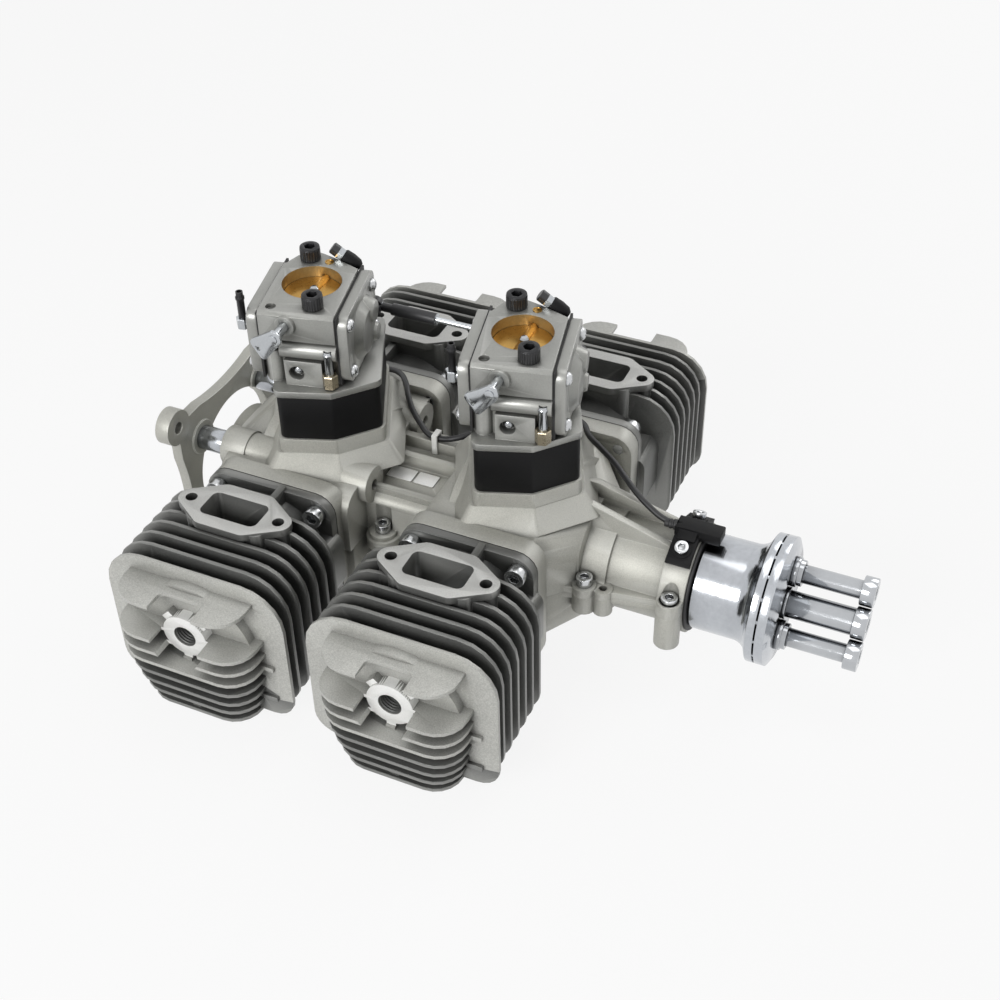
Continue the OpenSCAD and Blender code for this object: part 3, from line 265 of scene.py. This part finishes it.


# One finish for each material slot of the record
# The painted shade values set how strongly and over what distance hollows are darkened as painted shade
FINISH_VALUES = {
    "cast_case": dict(colour=(0.45, 0.447, 0.405), metallic=0.35, rough=0.44, grain=2300, bump=0.8,
                      bump_mm=0.1, vary=0.2, edge_wear_highlight=0.3, edge_wear_highlight_colour=(0.75, 0.75, 0.71), painted_shade=0.75,
                      bevel_mm=0.5, speck=0.7),
    "cast_cylinder": dict(colour=(0.17, 0.172, 0.165), metallic=0.45, rough=0.38, grain=2000, bump=0.7,
                          bump_mm=0.09, vary=0.2, edge_wear_highlight=0.3, edge_wear_highlight_colour=(0.6, 0.6, 0.57), painted_shade=0.85,
                          painted_shade_mm=9.0, bevel_mm=0.3, speck=0.65),
    "zinc_screws": dict(colour=(0.58, 0.59, 0.6), metallic=1.0, rough=0.25, grain=700, bump=0.08, edge_wear_highlight=0.3,
                        painted_shade=0.6),
    "bearing_steel": dict(colour=(0.62, 0.63, 0.64), metallic=1.0, rough=0.22, bump=0.05),
    "seal_rubber": dict(colour=(0.018, 0.018, 0.019), rough=0.55, grain=1200),
    "forged_steel": dict(colour=(0.35, 0.35, 0.36), metallic=1.0, rough=0.4, grain=600),
    "ground_steel": dict(colour=(0.6, 0.61, 0.63), metallic=1.0, rough=0.2, bump=0.05),
    "piston_alloy": dict(colour=(0.5, 0.5, 0.5), metallic=1.0, rough=0.32, bump=0.1),
    "ring_iron": dict(colour=(0.25, 0.25, 0.26), metallic=1.0, rough=0.35, bump=0.1),
    "gasket_black": dict(colour=(0.02, 0.02, 0.02), rough=0.6, bump=0.3),
    "black_plastic": dict(colour=(0.004, 0.004, 0.0045), grain=1500, bump=0.35, vary=0.25, edge_wear_highlight=0.08,
                          edge_wear_highlight_colour=(0.06, 0.06, 0.06), bevel_mm=0.5, spec=0.2),
    "carb_zinc": dict(colour=(0.34, 0.342, 0.322), metallic=0.55, rough=0.34, grain=1700, bump=0.45,
                      bump_mm=0.06, vary=0.14, edge_wear_highlight=0.3, edge_wear_highlight_colour=(0.7, 0.7, 0.68), painted_shade=0.7,
                      painted_shade_mm=4.0, bevel_mm=0.4),
    "black_screws": dict(colour=(0.022, 0.022, 0.024), metallic=0.6, rough=0.32, grain=700, bump=0.1,
                         edge_wear_highlight=0.35, edge_wear_highlight_colour=(0.16, 0.16, 0.16)),
    "brass_plate": dict(colour=(0.5, 0.3, 0.085), metallic=1.0, rough=0.3, grain=500, bump=0.15, vary=0.14),
    "black_lever": dict(colour=(0.025, 0.025, 0.027), metallic=0.1, rough=0.4, grain=700, bump=0.15),
    "hub_alloy": dict(colour=(0.5, 0.52, 0.55), metallic=1.0, rough=0.16, grain=400, bump=0.3, bump_mm=0.03,
                      vary=0.08, rough_vary=0.05, turned="X", painted_shade=0.8, painted_shade_mm=12.0),
    "chromed_bolts": dict(colour=(0.5, 0.515, 0.535), metallic=1.0, rough=0.1, grain=400, bump=0.05,
                          vary=0.04, rough_vary=0.04, painted_shade=0.9, painted_shade_mm=14.0),
    "magnet_nickel": dict(colour=(0.66, 0.65, 0.62), metallic=1.0, rough=0.2, bump=0.03),
    "lead_black": dict(colour=(0.012, 0.012, 0.013), rough=0.42, bump=0.15),
    "tie_white": dict(colour=(0.8, 0.8, 0.77), rough=0.45, grain=700, bump=0.15),
}
FINISH = {name: finish(name, **values) for name, values in FINISH_VALUES.items()}

# Sharp edges of the castings, brighter partly where blasting and handling have polished them and partly as a
# painted highlight
BEVEL_WEAR_HIGHLIGHT_VALUES = {
    "cast_cylinder": dict(colour=(0.95, 0.95, 0.92), metallic=0.3, rough=0.34, grain=2000, bump=0.4,
                          vary=0.1),
    "cast_case": dict(colour=(0.68, 0.68, 0.64), metallic=0.4, rough=0.4, grain=2300, bump=0.5, bump_mm=0.07,
                      vary=0.14, speck=0.7),
    "carb_zinc": dict(colour=(0.62, 0.62, 0.6), metallic=0.6, rough=0.32, grain=1700, bump=0.3, vary=0.08),
}
BEVEL_WEAR_HIGHLIGHT = {name: finish(name + "_edge_wear_highlight", **values) for name, values in BEVEL_WEAR_HIGHLIGHT_VALUES.items()}

# Copies of the solids with rounded edges, which are shown in their place
BEVEL_ANGLE = 28.0
slot_of = {part["node"]: part["material_slot"] for part in frame["record"]["subparts"]}
body_of = {node: body for body, nodes in frame["record"]["behaviour"]["bodies"].items() for node in nodes}


def dressed(node, width_mm):
    """A finished copy of a solid with its edges rounded."""
    slot = slot_of[node]
    mesh = frame["nodes"][node].data.copy()
    bm = bmesh.new()
    bm.from_mesh(mesh)
    bmesh.ops.remove_doubles(bm, verts=bm.verts, dist=1e-6)
    bmesh.ops.dissolve_limit(bm, angle_limit=math.radians(1.0), verts=bm.verts, edges=bm.edges)
    bm.to_mesh(mesh)
    bm.free()
    skin = new_object("skin_" + node, mesh)
    mesh.materials.clear()
    mesh.materials.append(FINISH[slot])
    rounding = skin.modifiers.new("round", "BEVEL")
    rounding.width = width_mm * MM
    rounding.segments = 2
    rounding.limit_method = "ANGLE"
    rounding.angle_limit = math.radians(BEVEL_ANGLE)
    rounding.use_clamp_overlap = True
    rounding.miter_outer = "MITER_ARC"
    # The rounded edge faces take the bright edge finish: polish from wear, with a painted highlight as well
    if slot in BEVEL_WEAR_HIGHLIGHT:
        mesh.materials.append(BEVEL_WEAR_HIGHLIGHT[slot])
        rounding.material = 1
    apply_modifiers(skin)
    shade(skin)
    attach(skin, body_of[node])
    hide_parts(node)
    return skin


for node, solid in frame["nodes"].items():
    solid.data.materials.clear()
    solid.data.materials.append(FINISH[slot_of[node]])

connector = dressed("lead_connector", 0.5)
cable = make_lead()
cable.data.materials.append(FINISH["lead_black"])
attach(cable, "engine")
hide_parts("sensor_lead")

# Floor, world and lamps, in metres and watts
FLOOR_DROP = 0.0002
FLOOR_HALF = 3.0
FLOOR_WHITENESS = 0.88
WORLD_LOW = 0.12
WORLD_HIGH = 0.42
LAMP_AIM = (0.14, 0.0, 0.02)
# Place, size and power
LAMPS = {
    "key_light": ((-0.05, -1.15, 0.62), 0.55, 9.5),
    "top_light": ((0.25, 0.1, 1.2), 0.7, 2.0),
    "back_light": ((0.5, 1.0, 0.7), 0.6, 2.6),
}


def seen(tree):
    """1 where the camera, a reflection or a transmission looks, else 0."""
    path = add_node(tree, "ShaderNodeLightPath")
    total = calculated(tree, "MAXIMUM", path.outputs["Is Camera Ray"], path.outputs["Is Glossy Ray"])
    return calculated(tree, "MAXIMUM", total, path.outputs["Is Transmission Ray"])


def make_floor():
    """A pale floor that is nearly white to look at and takes the object's shadow."""
    z = cad_box[0][2] - FLOOR_DROP
    s = FLOOR_HALF
    mesh = bpy.data.meshes.new("floor")
    mesh.from_pydata([(-s, -s, z), (s, -s, z), (s, s, z), (-s, s, z)], [], [(0, 1, 2, 3)])
    floor = new_object("floor", mesh)
    material = bpy.data.materials.new("floor")
    tree = empty_tree(material)
    output = add_node(tree, "ShaderNodeOutputMaterial")
    pale = add_node(tree, "ShaderNodeBsdfDiffuse", {"Color": (0.8, 0.8, 0.8, 1)})
    white = add_node(tree, "ShaderNodeEmission", {"Color": (1, 1, 1, 1), "Strength": 1.0})
    share = calculated(tree, "MULTIPLY", seen(tree), FLOOR_WHITENESS)
    surface = mixed_shader(tree, share, pale.outputs[0], white.outputs[0])
    tree.links.new(surface, output.inputs["Surface"])
    mesh.materials.append(material)


def make_world():
    """Soft light that grows towards the zenith, in front of a white background."""
    world = bpy.data.worlds[0] if bpy.data.worlds else bpy.data.worlds.new("studio")
    bpy.context.scene.world = world
    tree = empty_tree(world)
    output = add_node(tree, "ShaderNodeOutputWorld")
    white = add_node(tree, "ShaderNodeBackground", {"Color": (1, 1, 1, 1)})
    soft = add_node(tree, "ShaderNodeBackground")
    direction = add_node(tree, "ShaderNodeTexCoord").outputs["Generated"]
    parts = add_node(tree, "ShaderNodeSeparateXYZ")
    tree.links.new(direction, parts.inputs[0])
    strength = ranged(tree, parts.outputs["Z"], -0.2, 0.9, WORLD_LOW, WORLD_HIGH)
    tree.links.new(strength, soft.inputs["Strength"])
    background = mixed_shader(tree, seen(tree), soft.outputs[0], white.outputs[0])
    tree.links.new(background, output.inputs["Surface"])


def make_lamps():
    for name, (place, size, power) in LAMPS.items():
        data = bpy.data.lights.new(name, "AREA")
        data.energy = power
        data.size = size
        lamp = new_object(name, data)
        lamp.location = place
        aim = Vector(LAMP_AIM) - Vector(place)
        lamp.rotation_euler = aim.to_track_quat("-Z", "Y").to_euler()


make_floor()
make_world()
make_lamps()
bpy.context.scene.view_settings.view_transform = "Standard"

# Width in mm to which the edges of each solid are rounded
NODE_WIDTH = {
    "crankcase_upper": 0.7, "crankcase_lower": 0.7, "rear_bracket": 0.7, "insulator_blocks": 0.7,
    "carb_body_rear": 0.5, "carb_body_front": 0.5, "carb_covers": 0.7,
    "cylinder_nr": 0.45, "cylinder_nf": 0.45, "cylinder_fr": 0.45, "cylinder_ff": 0.45,
    "prop_hub": 0.25, "prop_washer": 0.3, "prop_bolts": 0.35, "prop_bolt_washers": 0.2,
    "case_screws": 0.25, "cylinder_screws": 0.3, "carb_screws": 0.35, "standoffs": 0.2, "mount_bolts": 0.4,
    "sensor_holder": 0.5, "cover_screw_set": 0.15, "choke_rear": 0.2, "choke_front": 0.2,
    "throttle_rear": 0.3, "throttle_front": 0.3, "throttle_link": 0.2, "shaft_seal": 0.3, "lead_tie": 0.3,
}
skins = {node: dressed(node, width) for node, width in NODE_WIDTH.items()}

# Places of the solids that the detail pieces sit on, in mm
CARB_X = {"rear": 56.0, "front": 151.1}
CARB_TURN = 13
BLOCK_Z = 65.5
CARB_TOP = 102.6
CARB_SCREWS = ((5.8, -18), (-5.8, 18))
CHOKE_Z = 97.1
CHOKE_SKEW = -10
# Middle of each cylinder along the crankshaft, and the side that its bank is on
CYLINDERS = {"nr": (55.5, -1), "nf": (147.5, -1), "fr": (63.7, 1), "ff": (155.7, 1)}
PLUG_Z = 6.2
PLUG_FACE_Y = 119.4


def carb_matrix(which):
    return at(CARB_X[which], 0, 0) @ rot(CARB_TURN, "Z")


def placed(mesh, name, matrix, slot, material=None, body="engine", angle=SHARP_ANGLE):
    """A finished detail piece; it has the finish of its slot unless another one is given."""
    mesh.transform(matrix)
    piece = new_object(name, mesh)
    piece.data.materials.append(material or FINISH[slot])
    shade(piece, angle)
    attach(piece, body)
    return piece


def lathe(profile, segments=48, radius=None):
    """A mesh turned round +Z from (radius, height) points in mm; radius(k, r) may vary it round the turn."""
    mesh = bpy.data.meshes.new("lathe")
    verts = []
    for r, h in profile:
        for k in range(segments):
            a = 2 * math.pi * k / segments
            rr = radius(k, r) if radius else r
            verts.append((rr * math.cos(a) * MM, rr * math.sin(a) * MM, h * MM))
    faces = []
    for i in range(len(profile) - 1):
        low = i * segments
        high = low + segments
        for k in range(segments):
            k2 = (k + 1) % segments
            faces.append((low + k, low + k2, high + k2, high + k))
    mesh.from_pydata(verts, [], faces)
    bm = bmesh.new()
    bm.from_mesh(mesh)
    bmesh.ops.remove_doubles(bm, verts=bm.verts, dist=1e-7)
    bmesh.ops.recalc_face_normals(bm, faces=bm.faces)
    bm.to_mesh(mesh)
    bm.free()
    return mesh


def prism(points, z0, z1, soften):
    """A flat plate from z0 to z1 with its sharp edges rounded by soften, all in mm."""
    mesh = bpy.data.meshes.new("prism")
    bm = bmesh.new()
    bottom = bm.faces.new([bm.verts.new((x * MM, y * MM, z0 * MM)) for x, y in points])
    grown = bmesh.ops.extrude_face_region(bm, geom=[bottom])["geom"]
    top = [v for v in grown if isinstance(v, bmesh.types.BMVert)]
    bmesh.ops.translate(bm, verts=top, vec=(0, 0, (z1 - z0) * MM))
    bmesh.ops.recalc_face_normals(bm, faces=bm.faces)
    rim = [e for e in bm.edges if len(e.link_faces) == 2 and e.calc_face_angle() > 1.2]
    bmesh.ops.bevel(bm, geom=rim, offset=soften * MM, segments=3, affect="EDGES", profile=0.5)
    bm.to_mesh(mesh)
    bm.free()
    return mesh


def rod(r, length):
    """The profile of a plain round rod."""
    return [(0, 0), (r, 0), (r, length), (0, length)]


# Second finishes, for machined faces and for details
BRASS_HEX = finish("fitting_hex", (0.46, 0.4, 0.29), 0.9, 0.3, grain=600, bump=0.1, vary=0.1)
FLANGE_FACE = finish("flange_faces", (0.56, 0.56, 0.54), 0.35, 0.45, grain=2400, bump=0.8, bump_mm=0.08,
                     vary=0.22, speck=0.8)
MACHINED = finish("boss_faces", (0.86, 0.86, 0.84), 0.3, 0.36, grain=1600, bump=0.3, bump_mm=0.04, vary=0.08)
# The head finish also darkens its hollows as painted shade
HEAD_CASTING = finish("head_casting", (0.5, 0.5, 0.47), 0.35, 0.42, grain=2000, bump=0.8, bump_mm=0.09,
                      vary=0.24, speck=0.75, painted_shade=0.9, painted_shade_mm=11.0)
THROAT_WALL = finish("throat_wall", (0.4, 0.29, 0.13), 0.7, 0.34, vary=0.16)
STEEL = finish("lever_steel", (0.5, 0.52, 0.54), 1.0, 0.22, bump=0.12)

# Faces that get a second finish are picked by their centre in mm and their normal
FACING = 0.9
HEAD_FROM_Y = 107.5
HEAD_LOW_Z = -12
FLANGE_FROM_Z = 37.4
BOSS_FROM_Y = 113
BOSS_RADIUS = 10.6
LUG_RADIUS = 9.0
CHOKE_PLATED_Y = -18
THROAT_RADIUS = 12.6
THROAT_LOW_Z = 80
LINK_Y = 30.16
LINK_Z = 76.5
LINK_ROD_RADIUS = 1.45
LAND_Z = 20.6


def repaint(node, material, pick):
    """Gives the faces of a skin that pick accepts another finish."""
    mesh = skins[node].data
    mesh.materials.append(material)
    index = len(mesh.materials) - 1
    for face in mesh.polygons:
        if pick(face.center / MM, face.normal):
            face.material_index = index


def on_head(c, normal):
    return abs(c.y) > HEAD_FROM_Y and c.z > HEAD_LOW_Z


def on_flange_top(c, normal):
    return c.z > FLANGE_FROM_Z and normal.z > FACING


def on_plug_boss(cylinder_x):
    def pick(c, normal):
        from_axis = math.hypot(c.x - cylinder_x, c.z - PLUG_Z)
        if abs(c.y) <= BOSS_FROM_Y or from_axis >= BOSS_RADIUS:
            return False
        end_face = abs(normal.y) > FACING and abs(c.y) > PLUG_FACE_Y
        lug = normal.y * c.y > 0 and from_axis > LUG_RADIUS
        return end_face or lug
    return pick


def on_choke_lever(to_carb):
    return lambda c, normal: (to_carb @ (c * MM) / MM).y < CHOKE_PLATED_Y


def on_throat(to_carb):
    def pick(c, normal):
        own = to_carb @ (c * MM) / MM
        return math.hypot(own.x, own.y) < THROAT_RADIUS and abs(normal.z) < FACING and c.z > THROAT_LOW_Z
    return pick


def on_link_rod(c, normal):
    return math.hypot(c.y - LINK_Y, c.z - LINK_Z) < LINK_ROD_RADIUS


def on_pocket_land(c, normal):
    return abs(c.z - LAND_Z) < 0.1 and normal.z > FACING


for key, (cylinder_x, _) in CYLINDERS.items():
    repaint("cylinder_" + key, HEAD_CASTING, on_head)
    repaint("cylinder_" + key, FLANGE_FACE, on_flange_top)
    repaint("cylinder_" + key, MACHINED, on_plug_boss(cylinder_x))
for which in CARB_X:
    to_carb = carb_matrix(which).inverted()
    repaint("choke_" + which, STEEL, on_choke_lever(to_carb))
    repaint("carb_body_" + which, THROAT_WALL, on_throat(to_carb))
repaint("throttle_link", STEEL, on_link_rod)
repaint("crankcase_upper", MACHINED, on_pocket_land)


# Carburettor details, drawn in the carburettor's own frame
def knurl(k, r):
    """Grooves along the side of a screw head."""
    if r <= 4:
        return r
    return r + (0.1 if (k // 2) % 2 else -0.06)


def screw_heads(which, carb):
    head = [(2.4, 0.4), (4.27, 0.4), (4.27, 5.2), (3.9, 5.9), (3.3, 5.9)]
    for i, (x, y) in enumerate(CARB_SCREWS):
        matrix = carb @ at(x, y, CARB_TOP)
        placed(lathe(head, 96, knurl), f"head_knurl_{which}_{i}", matrix, "black_screws", angle=20)


def idle_screw(which, carb):
    """Domed screw in the pocket of the near side."""
    r = 2.3
    foot = 0.9
    rise = 1.7
    angles = [math.radians(a) for a in range(15, 91, 15)]
    dome = [(0, 0), (r, 0), (r, foot)] + [(r * math.cos(a), foot + rise * math.sin(a)) for a in angles]
    matrix = carb @ at(-1.5, -22.2, BLOCK_Z + 9) @ rot(90, "X")
    placed(lathe(dome, 32), "idle_screw_" + which, matrix, "chromed_bolts")


def choke_detent(which, carb):
    """Detent of the choke at the far side: cap, nut and black body on one slanting line, and a post below."""
    line = carb @ at(3.4, 21.4, 106.6) @ rot(128, "Y")
    cap = [(0, -0.6), (2.1, -0.6), (2.6, -0.2), (2.6, 2.6), (0, 2.6)]
    nut = [(0, 2.6), (2.9, 2.6), (2.9, 5.0), (0, 5.0)]
    body = [(0, 5.0), (2.6, 5.0), (3.2, 5.6), (3.5, 9), (3.2, 12.4), (2.2, 13.8), (0, 14.0)]
    post = [(0, 0), (2.4, 0), (2.4, 0.8), (1.8, 1.2), (1.8, 6.6), (0, 6.6)]
    placed(lathe(cap, 32), "detent_cap_" + which, line, "black_screws")
    placed(lathe(nut, 6), "detent_nut_" + which, line, "chromed_bolts", STEEL)
    placed(lathe(body, 32), "detent_body_" + which, line, "black_plastic")
    post_place = carb @ at(10.6, 14.2, 100.0) @ rot(-90, "X")
    placed(lathe(post, 28), "detent_post_" + which, post_place, "black_plastic")


def choke_details(which, carb):
    """The plate's screw and the plated sleeve over the near end of the choke shaft; both turn with it."""
    screw = [(0, 0), (1.9, 0), (1.9, 0.7), (1.3, 1.35), (0, 1.5)]
    sleeve = [(2.05, 25.8), (2.15, 26.0), (2.15, 33.6), (2.0, 33.8), (1.4, 33.8)]
    skew = rot(CHOKE_SKEW, "Z")
    screw_place = carb @ at(0.6, 0, CHOKE_Z) @ skew @ at(0, 0, 1.9)
    sleeve_place = carb @ at(0, 0, CHOKE_Z) @ skew @ rot(90, "X")
    slot = "zinc_screws"
    own_body = "choke_" + which
    placed(lathe(screw, 28), "plate_screw_" + which, screw_place, slot, FINISH["chromed_bolts"], own_body)
    placed(lathe(sleeve, 32), "choke_sleeve_" + which, sleeve_place, slot, STEEL, own_body)


def carb_top(which, carb):
    """The top face carried round the rear screw, that screw's boss, and the brass plug in the top."""
    outline = [(-16, 8), (-9.5, 9.5), (-5, 12.4), (0, 13.3), (5, 12.4), (9.5, 9.5), (16, 9), (16, 13.5),
               (9, 17.5), (4.5, 20.2), (-1.5, 23), (-5, 24.2), (-9, 23.2), (-12, 19.5), (-16, 11.5)]
    boss = [(2.6, -10), (4.6, -10), (5.0, -9.4), (5.0, -2.5)]
    plug = [(0, 0), (1.9, 0), (1.9, 0.35), (1.5, 0.35), (1.4, 0.12), (0, 0.12)]
    proud = 0.02
    rear_screw = CARB_SCREWS[1]
    placed(prism(outline, CARB_TOP - 3, CARB_TOP + proud, 0.4), "top_plate_" + which, carb, "carb_zinc")
    placed(lathe(boss, 40), "screw_boss_" + which, carb @ at(*rear_screw, CARB_TOP), "carb_zinc")
    placed(lathe(plug, 32), "top_plug_" + which, carb @ at(2.9, 16.4, CARB_TOP + proud), "brass_plate")


def fuel_fittings(which, carb):
    """Two fittings, each a smooth tube with a bead on a six-sided base, in place of the plainer solids."""
    tube = [(0, 0), (1.9, 0), (1.9, 8.6), (2.15, 9.2), (2.15, 9.9), (1.8, 10.4), (1.75, 11.4), (1.2, 11.4),
            (1.2, 9.0), (0, 9.0)]
    upright = [(0, 0), (1.6, 0), (1.6, 10.4), (1.9, 11.0), (1.9, 12.0), (1.5, 12.6), (1.5, 14.4), (1.0, 14.4),
               (1.0, 12.0), (0, 12.0)]
    inlet_hex = [(0, 0), (3.0, 0), (3.3, 0.3), (3.3, 5.9), (3.0, 6.3), (0, 6.3)]
    side_hex = [(0, -2.4), (2.6, -2.4), (2.9, -2.1), (2.9, 2.1), (2.6, 2.4), (0, 2.4)]
    near = carb @ at(12.6, -25.5, BLOCK_Z + 3.6)
    back = carb @ at(-24.4, -19.5, BLOCK_Z + 27.5)
    inlet_stem = near @ at(0, 0.5, 3.4) @ rot(-90, "X")
    side_stem = back @ rot(90, "Y")
    slot = "zinc_screws"
    pieces = [
        placed(lathe(inlet_hex, 6), "inlet_hex_" + which, near, slot, BRASS_HEX, angle=20),
        placed(lathe(tube, 32), "inlet_tube_" + which, near @ at(0, 0, 6.3), slot, FINISH["chromed_bolts"]),
        placed(lathe(rod(2, 6), 24), "inlet_stem_" + which, inlet_stem, slot, BRASS_HEX),
        placed(lathe(side_hex, 6), "side_hex_" + which, back, slot, STEEL, angle=20),
        placed(lathe(rod(2, 3), 24), "side_stem_" + which, side_stem, slot, STEEL),
        placed(lathe(upright, 32), "side_tube_" + which, back @ at(0, 0, 0.2), slot, FINISH["black_screws"]),
    ]
    for piece in pieces:
        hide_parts("fuel_nipples")


for which in CARB_X:
    carb = carb_matrix(which)
    screw_heads(which, carb)
    idle_screw(which, carb)
    choke_detent(which, carb)
    choke_details(which, carb)
    carb_top(which, carb)
for which in CARB_X:
    fuel_fittings(which, carb_matrix(which))

# Thread turns in the plug holes
THREAD_PITCH = 1.25
THREAD_TURNS = 9
THREAD_TURN = ((4.98, 0.35), (4.55, 0.95), (4.98, 1.55))


def plug_thread(key, cylinder_x, side):
    profile = [(5.0, 0)]
    for k in range(THREAD_TURNS):
        profile += [(r, h + THREAD_PITCH * k) for r, h in THREAD_TURN]
    inwards = rot(90 if side > 0 else -90, "X")
    matrix = at(cylinder_x, side * PLUG_FACE_Y, PLUG_Z) @ inwards
    placed(lathe(profile, 40), "plug_thread_" + key, matrix, "cast_cylinder", angle=20)


for key, (cylinder_x, side) in CYLINDERS.items():
    plug_thread(key, cylinder_x, side)

# Strain relief where the lead leaves the sensor bar
RELIEF = [(0, 0), (2.3, 0), (2.3, 1.2), (1.9, 1.6), (1.9, 2.2), (2.1, 2.4), (2.1, 3.2), (1.7, 3.6),
          (1.65, 5.2), (1.35, 5.4)]
relief_place = at(220.2, -0.9, 26.62) @ rot(-92.5, "Y") @ rot(4, "X")
placed(lathe(RELIEF, 28), "lead_relief", relief_place, "seal_rubber")
